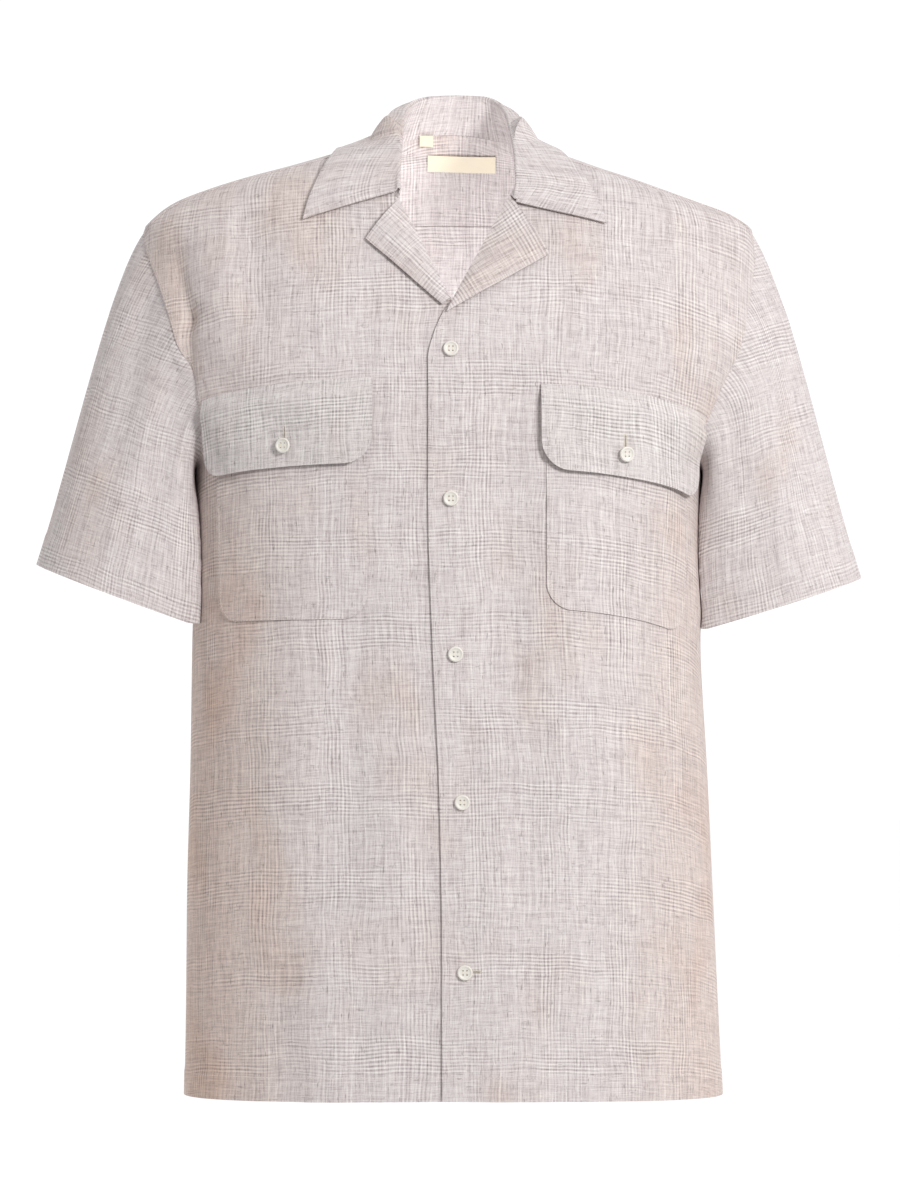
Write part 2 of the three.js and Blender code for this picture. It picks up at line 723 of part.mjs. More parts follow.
function lapel(side) {
  const { tip, foot, rollEnd } = side < 0 ? LAPEL.right : LAPEL.left;
  const rows = [];
  for (let i = 0; i <= LAPEL_CELLS.along; i += 1) {
    const down = i / LAPEL_CELLS.along;
    const roll = rollLine(side, lerp(ROLL_TOP, rollEnd, down));
    const row = [];
    for (let j = 0; j <= LAPEL_CELLS.out; j += 1) {
      const out = j / LAPEL_CELLS.out;
      const x = lerp(roll.x, lerp(tip[0], foot[0], down), out);
      const z = lerp(roll.z, lerp(tip[1], foot[1], down), out);
      const puff = LAPEL_LIFT.puff * Math.sin(Math.PI * out) * (1 - 0.6 * down);
      row.push(frontPoint(side, x, z, lerp(LAPEL_LIFT.roll, LAPEL_LIFT.edge, out) + puff));
    }
    rows.push(row);
  }
  return torsoWall(rows);
}

// Chest pockets: measured along the cloth from the body's centre, and down from the flap's seam.
// The taper is how far the outer side leans in at the foot.
const POCKETS = {
  right: { start: 57, width: 137, top: -173, droop: 22, footDroop: 5, foot: 181, taper: 6, flapTaper: -4 },
  left: { start: 69, width: 139, top: -177, droop: 26, footDroop: 32, foot: 168, taper: 14, flapTaper: 0 },
};
const POCKET = { mouth: 15, corner: 20, lift: 2.6, wall: 1, inset: 5 };
const FLAP = { height: 64, corner: 22, seamLift: 1.8, lift: 6 };
const DROOP_REACH = 215; // where the droop of the cross threads is measured
const POCKET_CELLS = { across: 11, down: 8 };
const FLAP_CELLS = { across: 11, down: 5 };

// The place on a chest a distance along the cloth from the centre, at a height.
function alongChest(side, distance, z, out) {
  const steps = 60;
  let gone = 0;
  let before = roundSlice(side, 0, z);
  for (let i = 1; i <= steps; i += 1) {
    const next = roundSlice(side, (90 * i) / steps, z);
    const step = next.distanceTo(before);
    if (gone + step >= distance || i === steps) {
      return clothPoint(before.lerp(next, Math.min((distance - gone) / step, 1)), out);
    }
    gone += step;
    before = next;
  }
}

// A patch on the chest from cloth measures: along its width and down from the flap's seam.
function onChest(side, along, down, out) {
  const { start, top, droop, footDroop, foot } = side < 0 ? POCKETS.right : POCKETS.left;
  const distance = start + along;
  const sag = lerp(droop, footDroop, down / foot) * (distance / DROOP_REACH) ** 3;
  return alongChest(side, distance, top - down - sag, out);
}

// How far a rounded lower corner draws in the sides at a depth, 0 above the corner.
function cornerInset(depth, height, corner) {
  const into = Math.max(depth - (height - corner), 0);
  return corner - Math.sqrt(Math.max(corner * corner - into * into, 0));
}

// Rows of a patch close up towards its rounded foot, so that the corners stay round. The last row
// keeps a little more than the full rounding's width, so that it isn't too short.
const CORNER_EASE = 0.94;

function patchRows(side, { width, taper, from, to, corner, inset, cells, lift }) {
  const rows = [];
  for (let i = 0; i <= cells.down; i += 1) {
    const down = lerp(from, to, Math.sin((Math.PI * i) / cells.down / 2));
    const drawn = inset + CORNER_EASE * cornerInset(down, to, corner);
    const outerSide = width - (taper * down) / to;
    const row = [];
    for (let j = 0; j <= cells.across; j += 1) {
      row.push(onChest(side, lerp(drawn, outerSide - drawn, j / cells.across), down, lift(down)));
    }
    rows.push(row);
  }
  return rows;
}

function pocket(side) {
  const { width, foot, taper } = side < 0 ? POCKETS.right : POCKETS.left;
  const rows = patchRows(side, {
    width,
    taper,
    from: POCKET.mouth,
    to: foot,
    corner: POCKET.corner,
    inset: POCKET.inset,
    cells: POCKET_CELLS,
    lift: () => POCKET.lift,
  });
  return torsoWall(rows, POCKET.wall);
}

const flapLift = (down) => lerp(FLAP.seamLift, FLAP.lift, smoothstep(down, 0, POCKET.mouth - 2));

function pocketFlap(side) {
  const { width, flapTaper } = side < 0 ? POCKETS.right : POCKETS.left;
  const rows = patchRows(side, {
    width,
    taper: flapTaper,
    from: 0,
    to: FLAP.height,
    corner: FLAP.corner,
    inset: 0,
    cells: FLAP_CELLS,
    lift: flapLift,
  });
  return torsoWall(rows);
}

// Buttons: a turned disc with a raised rim and four thread holes.
const BUTTON = { radius: 5.8, thick: 2.4, rim: 1.2, dish: 0.7, hole: 0.65, holeSpacing: 1.35 };
const FRONT_BUTTON_HEIGHTS = [-152, -264, -380.5, -491.5, -619];
const POCKET_BUTTON = { right: { along: 66.5, down: 47.5 }, left: { along: 63, down: 46.5 } };

function solidOf(geometry) {
  const bare = geometry.clone();
  bare.deleteAttribute("normal");
  bare.deleteAttribute("uv");
  const merged = mergeVertices(bare, 1e-4);
  return new wasm.Manifold(
    new wasm.Mesh({
      numProp: 3,
      vertProperties: merged.getAttribute("position").array,
      triVerts: new Uint32Array(merged.index.array),
    }),
  );
}

function geometryOf(solid) {
  const mesh = solid.getMesh();
  const geometry = new THREE.BufferGeometry();
  geometry.setAttribute("position", new THREE.BufferAttribute(mesh.vertProperties, 3));
  geometry.setIndex(new THREE.BufferAttribute(mesh.triVerts, 1));
  return geometry;
}

// The button's own frame has +Y out of its face and y = 0 on its back.
function buttonGeometry() {
  const { radius, thick, rim, dish } = BUTTON;
  const profile = [
    [0, 0],
    [radius - 1, 0],
    [radius, 0.9],
    [radius - 0.4, thick],
    [radius - rim, thick],
    [radius - rim - 0.6, thick - dish],
    [0, thick - dish],
  ].map(([x, y]) => new THREE.Vector2(x, y));
  let solid = solidOf(new THREE.LatheGeometry(profile, 18));
  for (let i = 0; i < 4; i += 1) {
    const angle = Math.PI / 4 + (i * Math.PI) / 2;
    const hole = new THREE.CylinderGeometry(BUTTON.hole, BUTTON.hole, 3 * thick, 6);
    hole.translate(BUTTON.holeSpacing * Math.cos(angle), 0, BUTTON.holeSpacing * Math.sin(angle));
    solid = solid.subtract(solidOf(hole));
  }
  return geometryOf(solid);
}

// Neck label and size tab, inside the yoke below the collar seam. Both are left bare. They stand clear
// of the yoke's inner face, whose flat facets cut the curve short.
const LABELS = {
  neck_label: { fromX: -17, toX: 37, top: 9.5, foot: -2.5, tilt: -1.5, wall: 0.5, cells: 4, clear: 1.1 },
  size_tab: { fromX: -24, toX: -13, top: 24.5, foot: 16.3, tilt: 0, wall: 0.8, cells: 2, clear: 2.2 },
};

function label({ fromX, toX, top, foot, tilt, wall, cells, clear }) {
  const inward = -(CLOTH / 2 + clear + wall / 2);
  const rows = [0, 0.5, 1].map((down) => {
    const row = [];
    for (let i = 0; i <= cells; i += 1) {
      const z = lerp(top, foot, down) + (tilt * i) / cells;
      row.push(clothPoint(onSlice("back", lerp(fromX, toX, i / cells), z), inward));
    }
    return row;
  });
  return torsoWall(rows, wall);
}

// Assembly
const finishes = {
  cloth: new THREE.MeshStandardMaterial({ color: 0xd7cdca, roughness: 0.92, metalness: 0 }),
  button: new THREE.MeshStandardMaterial({ color: 0xf3f0e6, roughness: 0.4, metalness: 0 }),
  label: new THREE.MeshStandardMaterial({ color: 0xf0e4cd, roughness: 0.8, metalness: 0 }),
};

const shirt = new THREE.Group();

function addPiece(name, geometry, finish) {
  const mesh = new THREE.Mesh(geometry, finish);
  mesh.name = name;
  shirt.add(mesh);
  return mesh;
}

// Which way the cloth faces at a place, folds included.
function clothNormal(onTorso) {
  const reach = BUTTON.radius;
  const at = (dx, dz) => clothPoint(onSlice("front", onTorso.x + dx, onTorso.z + dz));
  const across = at(reach, 0).sub(at(-reach, 0));
  const up = at(0, reach).sub(at(0, -reach));
  return across.cross(up).normalize();
}

// Seats a button with its back a seam's gap off the cloth and facing as the cloth does.
function addButton(name, onTorso, clothOut) {
  const button = addPiece(name, buttonGeometry(), finishes.button);
  button.position.copy(clothPoint(onTorso, clothOut + CLOTH / 2 + SEAM_GAP));
  button.quaternion.setFromUnitVectors(new Vector3(0, 1, 0), clothNormal(onTorso));
}

const SIDES = { right: -1, left: 1 };
for (const [name, side] of Object.entries(SIDES)) {
  addPiece(`front_${name}`, frontPanel(side), finishes.cloth);
  addPiece(`sleeve_${name}`, sleeve(side), finishes.cloth);
  addPiece(`front_facing_${name}`, lapel(side), finishes.cloth);
  addPiece(`pocket_${name}`, pocket(side), finishes.cloth);
  addPiece(`pocket_flap_${name}`, pocketFlap(side), finishes.cloth);
  const { along, down } = POCKET_BUTTON[name];
  addButton(`pocket_button_${name}`, pullToTorso(onChest(side, along, down, 0)), flapLift(down));
}
addPiece("back", backPanel(), finishes.cloth);
addPiece("yoke", yokePanel(), finishes.cloth);
addPiece("collar", collar(), finishes.cloth);

FRONT_BUTTON_HEIGHTS.forEach((z, i) => {
  addButton(`front_button_${i + 1}`, onSlice("front", centreLine.x(z), z), LAYER_LIFT);
});

for (const [name, size] of Object.entries(LABELS)) addPiece(name, label(size), finishes.label);

export default shirt;
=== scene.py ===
# %% [markdown]
# # A linen bowling shirt, made in Blender around its solid model
# The real thing is a man's short-sleeved shirt with a camp collar: soft linen in a pale glen check,
# cut in flat pieces and sewn. Here it stands filled out with nobody inside. Each cell makes one piece
# or one finish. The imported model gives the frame, and every piece is a thin shell on its solid's form.

# %% Start from the frame
import math

import bpy
import numpy as np
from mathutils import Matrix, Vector


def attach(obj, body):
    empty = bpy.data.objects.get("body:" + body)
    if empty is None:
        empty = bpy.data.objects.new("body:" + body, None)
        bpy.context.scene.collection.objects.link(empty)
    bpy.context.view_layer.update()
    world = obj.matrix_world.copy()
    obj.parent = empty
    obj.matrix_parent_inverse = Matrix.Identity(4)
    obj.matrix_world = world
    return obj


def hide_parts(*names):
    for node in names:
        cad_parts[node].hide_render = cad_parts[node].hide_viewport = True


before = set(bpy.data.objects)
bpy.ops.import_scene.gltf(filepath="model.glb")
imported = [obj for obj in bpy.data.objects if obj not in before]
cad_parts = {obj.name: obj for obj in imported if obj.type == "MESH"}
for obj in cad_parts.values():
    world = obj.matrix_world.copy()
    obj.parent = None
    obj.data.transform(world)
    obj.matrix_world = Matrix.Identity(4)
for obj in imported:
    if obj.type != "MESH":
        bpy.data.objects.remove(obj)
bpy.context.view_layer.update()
MM = 0.001
print("nodes in the frame:", len(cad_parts))

# %% [markdown]
# ## Sizes
# These are the sizes that the pattern cutter would write down, in millimetres. They are the same as the
# solid model's, so that the dressed shirt lies on the solid one. Only the cloth is thinner, nearer to real
# linen. The origin is between the highest points of the shoulder seams, the front faces -Y and +X is the
# wearer's left.

# %% Driving sizes
HEM_FRONT = -716
HEM_SIDE = -719
HEM_BACK = -717
ARMPIT = -240
SHOULDER_POINT = -57
LAYER_LIFT = 1.1  # each front moves this far apart where one laps over the other
LAP = 17  # from the centre line to each front's edge
BREAK_HEIGHT = -115  # where the fronts start to fold open
SEAM_FORWARD = 18  # the shoulder seam lies this far in front of the shoulder's top
CLOTH = 0.55  # one layer of shirt linen
DOUBLE_CLOTH = 1.1  # collar, flaps and facings, with their turned edges
SIDES = {"right": -1, "left": 1}  # the wearer's right is at -X


def smooth_column(keys, values):
    """A curve through a table's column that never swings past its rows."""
    slopes = np.diff(values) / np.diff(keys)
    product = slopes[:-1] * slopes[1:]
    total = slopes[:-1] + slopes[1:]
    level = product <= 0
    inner = np.where(level, 0, 2 * product / np.where(level, 1, total))
    tangents = np.concatenate([slopes[:1], inner, slopes[-1:]])

    def at(key):
        key = np.clip(key, keys[0], keys[-1])
        i = np.clip(np.searchsorted(keys, key, side="right") - 1, 0, len(keys) - 2)
        span = keys[i + 1] - keys[i]
        leave, arrive = tangents[i] * span, tangents[i + 1] * span
        return hermite(values[i], leave, values[i + 1], arrive, (key - keys[i]) / span)

    return at


def hermite(start, leave, end, arrive, t):
    """A smooth run from start to end that leaves and arrives the given ways."""
    back = 1 - t
    from_start = back**2 * ((1 + 2 * t) * start + t * leave)
    return from_start + t**2 * ((3 - 2 * t) * end - back * arrive)


def smooth_table(names, rows):
    """Columns by name, each a curve over the first column."""
    table = np.array(sorted(rows), dtype=float)
    return {name: smooth_column(table[:, 0], table[:, i + 1]) for i, name in enumerate(names[1:])}


def lerp(start, end, t):
    return start + (end - start) * t


def smoothstep(x, low, high):
    t = np.clip((x - low) / (high - low), 0, 1)
    return t * t * (3 - 2 * t)


def unit(vectors):
    return vectors / np.maximum(np.linalg.norm(vectors, axis=-1, keepdims=True), 1e-12)


# %% [markdown]
# ## The body form
# A shirt on a ghost mannequin takes the shape of the chest that filled it. A tailor reads that shape as
# girths at heights, and so does this table: half widths, depths and how square each level slice is.
# A formula for the surface, rather than a sculpted mesh, lets every panel be laid on it and moved out
# along its normals by exact amounts.

# %% The torso's slices
torso = smooth_table(
    ["z", "right", "left", "front", "back", "square"],
    [
        [30, 46, 53, 16, 72, 2.2],
        [24, 51, 58, 19, 76, 2.2],
        [18, 55, 62, 22, 79, 2.2],
        [9.5, 60, 68, 27, 83, 2.2],
        [4.5, 83, 80, 32, 86.5, 2.2],
        [-2.7, 108.6, 101, 38, 91, 2.2],
        [-7.4, 125.5, 114, 42, 93.5, 2.2],
        [-16.6, 160, 142, 50.5, 97.5, 2.2],
        [-26, 189, 168, 58, 101.5, 2.22],
        [-35, 211, 192.5, 65, 105, 2.25],
        [-45, 225, 218, 71, 108.5, 2.3],
        [SHOULDER_POINT, 235, 233, 76.5, 112, 2.35],
        [-80, 236.5, 236, 87, 117, 2.45],
        [-100, 236, 236, 95.5, 121, 2.5],
        [-140, 236, 236, 108, 126, 2.55],
        [-180, 222, 222, 114.5, 128, 2.6],
        [-215, 203, 203, 118, 128, 2.6],
        [ARMPIT, 194.5, 193, 119, 128, 2.6],
        [-300, 195, 192.5, 119.5, 127, 2.6],
        [-371, 197, 193, 118.5, 125, 2.6],
        [-467, 198.5, 198, 117, 122, 2.6],
        [-563, 201, 202.5, 115.5, 119, 2.6],
        [-660, 202, 207, 113.5, 116, 2.6],
        [-740, 203.5, 211, 112, 114, 2.6],
    ],
)


def points_of(x, y, z):
    return np.stack(np.broadcast_arrays(x, y, z), axis=-1).astype(float)


def torso_value(points):
    """1 on the torso, less inside it and more outside."""
    x, y, z = points[..., 0], points[..., 1], points[..., 2]
    square = torso["square"](z)
    across = np.abs(x) / np.where(x < 0, torso["right"](z), torso["left"](z))
    through = np.abs(y) / np.where(y < 0, torso["front"](z), torso["back"](z))
    return (across**square + through**square) ** (1 / square)


def torso_slope(points, step=0.02):
    slopes = []
    for axis in range(3):
        move = np.zeros(3)
        move[axis] = step
        slopes.append((torso_value(points + move) - torso_value(points - move)) / (2 * step))
    return np.stack(slopes, axis=-1)


def torso_normal(points):
    return unit(torso_slope(points))


def pull_to_torso(points, rounds=7):
    """The torso's own points nearest to rough ones."""
    for _ in range(rounds):
        slope = torso_slope(points)
        miss = (1 - torso_value(points)) / np.sum(slope**2, axis=-1)
        points = points + slope * miss[..., None]
    return points


def on_slice(face, x, z):
    """Places on the torso, given in the front view on its front or back."""
    square = torso["square"](z)
    across = np.minimum(np.abs(x) / np.where(np.asarray(x) < 0, torso["right"](z), torso["left"](z)), 1)
    depth = -torso["front"](z) if face == "front" else torso["back"](z)
    return points_of(x, depth * (1 - across**square) ** (1 / square), z)


def round_slice(side, degrees, z):
    """Places on the torso, given by the angle from the front centre round one side."""
    degrees, z = np.broadcast_arrays(np.asarray(degrees, float), np.asarray(z, float))
    power = 2 / torso["square"](z)
    angle = np.radians(degrees)
    across = torso["right" if side < 0 else "left"](z)
    depth = np.where(degrees < 90, -torso["front"](z), torso["back"](z))
    x = side * across * np.maximum(np.sin(angle), 0) ** power
    return points_of(x, depth * np.abs(np.cos(angle)) ** power, z)


def height_at(x, y):
    """The torso's height over places in the plan."""
    x, y = np.broadcast_arrays(np.asarray(x, float), np.asarray(y, float))
    low, high = np.full(x.shape, -230.0), np.full(x.shape, 30.0)
    for _ in range(34):
        middle = (low + high) / 2
        outside = torso_value(points_of(x, y, middle)) > 1
        high = np.where(outside, middle, high)
        low = np.where(outside, low, middle)
    return points_of(x, y, (low + high) / 2)


print("half width at the armpit:", float(torso["left"](ARMPIT)), "mm")

# %% [markdown]
# ## Folds
# Linen creases, and a shirt that has hung and been filled out again keeps long soft folds. Cloth
# simulation gives folds, but not these folds, so each is listed as a ridge or a trough along a line.
# The large ones are in the solid too. The fine ones are only here: they fan from the armholes and gather
# over the hem, and none is the mirror of another.

# %% The folds, large and fine
BODY_FOLDS = [
    # face, x, z, to x, to z, depth, width
    ["front", -150, -50, -143, -118, -3.2, 11],
    ["front", -178, -75, -168, -135, 2.6, 12],
    ["front", -190, -160, -128, -212, -2.6, 13],
    ["front", -207, -84, -198, -126, -3.4, 7],
    ["front", -198, -126, -197, -180, -3.4, 7],
    ["front", 45, -190, 44, -420, -3.0, 17],
    ["front", 82, -250, 88, -470, 2.2, 20],
    ["front", 148, -235, 188, -350, 2.8, 13],
    ["front", -70, -360, -78, -520, -2.4, 16],
    ["front", -112, -330, -118, -480, 2.2, 20],
    ["front", -38, -470, -45, -640, 1.8, 18],
    ["front", 112, -520, 122, -700, -2.0, 20],
    ["front", -95, -600, -88, -716, 2.4, 15],
    ["front", -128, -640, -122, -716, -2.0, 12],
    ["back", -70, -150, -95, -360, -3.2, 20],
    ["back", 60, -170, 86, -400, -3.0, 22],
    ["back", -15, -330, -8, -560, 2.6, 22],
    ["back", 130, -420, 120, -690, 2.6, 22],
    ["back", -125, -430, -132, -700, 2.4, 24],
    ["back", 168, -200, 120, -262, -3.0, 14],
    ["back", -168, -205, -118, -270, -3.0, 14],
]
FINE_FOLDS = [
    # face, x, z, to x, to z, depth, width
    ["front", -206, -92, -198, -126, -1.6, 3.5],
    ["front", -198, -126, -197, -178, -2.6, 3.5],
    ["front", -196, -118, -150, -150, -1.1, 6],
    ["front", -186, -205, -160, -262, -1.2, 7],
    ["front", -60, -60, -68, -150, -0.8, 9],
    ["front", 92, -62, 100, -130, 0.9, 10],
    ["front", 150, -70, 128, -150, -0.9, 9],
    ["front", 196, -150, 160, -190, -1.0, 7],
    ["front", 178, -235, 182, -330, -1.4, 7],
    ["front", 62, -455, 70, -640, -1.0, 11],
    ["front", 30, -560, 36, -716, 0.9, 10],
    ["front", -20, -330, -26, -430, -0.7, 9],
    ["front", -150, -500, -160, -700, -1.2, 12],
    ["front", 160, -400, 176, -560, 1.2, 13],
    ["front", -70, -650, -68, -716, -1.2, 7],
    ["front", -108, -668, -106, -716, 1.2, 6],
    ["front", 60, -672, 64, -716, 0.9, 8],
    ["front", 84, -666, 86, -716, -0.9, 7],
    ["front", 150, -660, 154, -716, 1.0, 9],
    ["back", -30, -90, -36, -250, -0.8, 12],
    ["back", 118, -110, 96, -210, 1.0, 11],
    ["back", -128, -120, -110, -230, 1.0, 12],
    ["back", 190, -170, 150, -205, -1.1, 7],
    ["back", -188, -165, -146, -200, -1.0, 7],
    ["back", 44, -500, 52, -700, -1.1, 14],
    ["back", -66, -520, -60, -716, -1.2, 13],
    ["back", 96, -650, 98, -716, -1.0, 8],
    ["back", -104, -640, -100, -716, 1.0, 8],
    ["back", 14, -660, 12, -716, 0.9, 9],
]


def fold_lines(rows):
    return [(on_slice(face, x, z), on_slice(face, to_x, to_z), depth, width)
            for face, x, z, to_x, to_z, depth, width in rows]


FOLD_LINES = fold_lines(BODY_FOLDS)
FINE_FOLD_LINES = fold_lines(FINE_FOLDS)


def height_of_folds(points, lines):
    height = np.zeros(points.shape[:-1])
    for start, end, depth, width in lines:
        line = end - start
        along = np.clip((points - start) @ line / (line @ line), 0, 1)
        away = np.linalg.norm(points - start - along[..., None] * line, axis=-1) / width
        height += depth * np.exp(-(away**2) / 2)
    return height


def cloth_point(on_torso, out=0.0, fine=0.0):
    """Points of the torso moved out through the folds and by a number of millimetres more."""
    lift = height_of_folds(on_torso, FOLD_LINES) + np.asarray(out)
    if fine:
        lift = lift + fine * height_of_folds(on_torso, FINE_FOLD_LINES)
    return on_torso + torso_normal(on_torso) * lift[..., None]


print("large folds:", len(BODY_FOLDS), "fine folds:", len(FINE_FOLDS))

# %% [markdown]
# ## From a grid of points to a piece of cloth
# Every panel is a grid of points on the middle of the cloth. One function thickens it to a closed shell,
# with its outer and inner skins joined round the rim, so no Solidify modifier is needed. It also gives
# the shell a UV map in millimetres of flat cloth. The map follows the weave, so the check bends round the
# body as woven threads do.

# %% Shells of cloth
made = {}
surfaces = {}  # each shell's grid, normals and thickness, for the sewing
cuts = {}  # each shell's flat width and length in millimetres, and its area in square millimetres


def grid_normals(grid, closed=False):
    """Normals of a grid from its own rows and columns."""
    if closed:
        across = np.roll(grid, -1, axis=1) - np.roll(grid, 1, axis=1)
    else:
        across = np.gradient(grid, axis=1)
    return unit(np.cross(across, np.gradient(grid, axis=0)))


def area_of(grid):
    """The area of a grid's cells, each as two triangles."""
    near, right, below, far = grid[:-1, :-1], grid[:-1, 1:], grid[1:, :-1], grid[1:, 1:]
    first = np.linalg.norm(np.cross(right - near, below - near), axis=-1)
    second = np.linalg.norm(np.cross(far - right, far - below), axis=-1)
    return (first.sum() + second.sum()) / 2


def cut_size(grid, flat, closed):
    """The width, length and area that a piece was cut to: its flat map, brought to the cloth's own area."""
    if closed:
        grid = np.concatenate([grid, grid[:, :1]], axis=1)
        flat = np.concatenate([flat, flat[:, -1:] * 2 - flat[:, -2:-1]], axis=1)
    area = area_of(grid)
    flat_area = area_of(np.concatenate([flat, 0 * flat[..., :1]], axis=-1))
    width, length = np.ptp(flat.reshape(-1, 2), axis=0) * math.sqrt(area / flat_area)
    return width, length, area


def cloth_shell(name, grid, flat, normals=None, thickness=CLOTH, closed=False):
    """A closed shell round a grid of middle points. flat holds each point's place on the flat cloth."""
    normals = grid_normals(grid, closed) if normals is None else normals
    down, across = grid.shape[:2]
    layer = down * across
    surfaces[name] = (grid, normals, thickness)
    half = normals * thickness / 2
    vertices = np.concatenate([(grid + half).reshape(-1, 3), (grid - half).reshape(-1, 3)])
    index = np.arange(layer).reshape(down, across)
    if closed:
        index = np.concatenate([index, index[:, :1]], axis=1)
    corners = [index[:-1, :-1], index[:-1, 1:], index[1:, 1:], index[1:, :-1]]
    quads = np.stack(corners, axis=-1).reshape(-1, 4)
    inner = quads[:, ::-1] + layer
    rims = [index[0], index[-1][::-1]]
    if not closed:
        rims += [index[:, 0][::-1], index[:, -1]]
    rim_quads = [np.stack([rim[1:], rim[:-1], rim[:-1] + layer, rim[1:] + layer], axis=-1) for rim in rims]
    faces = np.concatenate([quads, inner, *rim_quads])
    corner = vertices[faces].transpose(1, 0, 2)
    slant = np.cross(corner[1], corner[2]) + np.cross(corner[2], corner[3])
    if np.sum(corner[0] * slant) < 0:
        faces = faces[:, ::-1]
    mesh = bpy.data.meshes.new(name)
    mesh.from_pydata((vertices * MM).tolist(), [], faces.tolist())
    set_flat_map(mesh, flat, faces, layer, closed)
    mesh.shade_smooth()
    mesh.set_sharp_from_angle(angle=math.radians(50))
    shell = bpy.data.objects.new(name, mesh)
    bpy.context.scene.collection.objects.link(shell)
    made[name] = shell
    cuts[name] = cut_size(grid, flat, closed)
    print(name, "faces", len(mesh.polygons))
    return shell


def set_flat_map(mesh, flat, faces, layer, closed):
    """Writes each corner's place on the flat cloth, in millimetres, as a UV map."""
    uv = mesh.uv_layers.new(name="flat_cloth")
    places = flat.reshape(-1, 2)[faces % layer]
    if closed:
        columns = flat.shape[1]
        girth = (flat[0, -1, 0] - flat[0, 0, 0]) * columns / (columns - 1)
        first = places[..., 0] < flat[0, 0, 0] + girth * 0.05
        wraps = np.any(places[..., 0] > flat[0, 0, 0] + girth * 0.9, axis=1)
        places[..., 0] += np.where(first & wraps[:, None], girth, 0)
    uv.data.foreach_set("uv", places.astype(np.float32).ravel())


# %% [markdown]
# ## Seams
# The neckline, the armholes, the shoulder seams and the yoke seam are curves on the body form. They are
# written once, as the solid model has them, and each panel is drawn between them.

# %% Seam curves
NECK = {"right": 59, "left": 67, "front": 81, "back": 76, "square": 2.2}
NECK_SEAM_DEGREES = 180 - math.degrees(math.acos((SEAM_FORWARD / NECK["front"]) ** (NECK["square"] / 2)))
GORGE_DEGREES = {-1: 141.5, 1: 138}
ARMHOLE = {
    -1: {"front": 32.5, "front_lean": -9, "back": 29, "back_lean": -4},
    1: {"front": 22.5, "front_lean": -12, "back": 29, "back_lean": -4},
}
SHOULDER_SEAM_END = {-1: 23, 1: 36}
YOKE_BACK_END = 40
YOKE_DROP = -45
centre_line = smooth_table(
    ["z", "x"],
    [[-115, 2.5], [-152, 1.5], [-264, 1.5], [-380, 5], [-491, 10], [-619, 12], [-740, 12]],
)
edge_share = smooth_table(
    ["z", "share"],
    [[BREAK_HEIGHT, 0], [-121, 0.28], [-130, 0.55], [-141, 0.78], [-158, 1], [-740, 1]],
)


def neckline(side, degrees):
    angle = np.radians(degrees)
    power = 2 / NECK["square"]
    across = NECK["right" if side < 0 else "left"]
    depth = np.where(np.asarray(degrees) < 90, NECK["back"], -NECK["front"])
    return height_at(side * across * np.sin(angle) ** power, depth * np.abs(np.cos(angle)) ** power)


def front_edge(side, z):
    return centre_line["x"](z) - side * LAP * edge_share["share"](z)


def armhole(side, degrees):
    """A loop round one side: from the shoulder point down the front to the armpit at 180 and up the back."""
    size = ARMHOLE[side]
    degrees = np.asarray(degrees, float) % 360
    angle = np.radians(degrees)
    z = lerp(SHOULDER_POINT, ARMPIT, (1 - np.cos(angle)) / 2)
    front = (size["front"] + size["front_lean"] * np.cos(angle)) * np.sin(angle)
    back = (size["back"] + size["back_lean"] * np.cos(angle)) * np.sin(angle)
    return round_slice(side, 90 - np.where(degrees <= 180, front, back), z)


def shoulder_seam(side, t):
    start, end = neckline(side, NECK_SEAM_DEGREES), armhole(side, SHOULDER_SEAM_END[side])
    return height_at(lerp(start[0], end[0], t), lerp(start[1], end[1], t))


def back_yoke_seam(side, t):
    t = np.asarray(t, float)
    end = armhole(side, -YOKE_BACK_END)
    flat_seam = on_slice("back", end[0] * t, lerp(YOKE_DROP, end[2], t**2.5))
    return pull_to_torso(lerp(flat_seam, end, (t**6)[..., None]))


def roll_line(side, t):
    """Where a front folds open, from the break up to the gorge."""
    start = on_slice("front", front_edge(side, BREAK_HEIGHT), BREAK_HEIGHT)
    end = neckline(side, GORGE_DEGREES[side])
    return on_slice("front", lerp(start[0], end[0], t), lerp(start[2], end[2], t))


def panel_rows(centre, side, bottom, top, across, rows_up, top_share):
    """Rows of a panel: straight between its side edges, plus the bulge of its bottom and top edges."""
    left, right = centre(rows_up)[:, None], side(rows_up)[:, None]
    grid = lerp(left, right, across[None, :, None])
    for edge, share in ((bottom, 1 - top_share), (top, top_share)):
        curve = edge(across)
        bulge = curve - lerp(curve[:1], curve[-1:], across[:, None])
        grid = grid + bulge[None] * share[:, None, None]
    return grid


print("shoulder to shoulder:", round(float(armhole(1, 0)[0] - armhole(-1, 0)[0])), "mm")

# %% [markdown]
# ## Where a point lies on the flat cloth
# Round the body that is the length along the level slice from the centre. On this shirt the cross
# threads sag towards the sides, more on the wearer's left, as cloth does over a chest, so the distance
# down grows with the cube of the distance round.

# %% Lengths round the body
SAG_REACH = 215
body_sag = smooth_table(
    ["z", "right", "left"],
    [[0, 10, 14], [-120, 15, 22], [-180, 18, 26], [-350, 12, 24], [-500, 10, 20], [-740, 6, 8]],
)


def slice_length(side, points, steps=26):
    """How far points lie round their level slices from the front's or the back's middle."""
    x, y, z = points[..., 0], points[..., 1], points[..., 2]
    across = torso["right" if side < 0 else "left"](z)
    share = np.clip(np.abs(x) / across, 0, 1) ** (torso["square"](z) / 2)
    end = np.degrees(np.arcsin(share))
    length = np.zeros(x.shape)
    before = round_slice(side, 0 * end, z)
    for i in range(1, steps + 1):
        after = round_slice(side, end * i / steps, z)
        length += np.linalg.norm(after - before, axis=-1)
        before = after
    return length


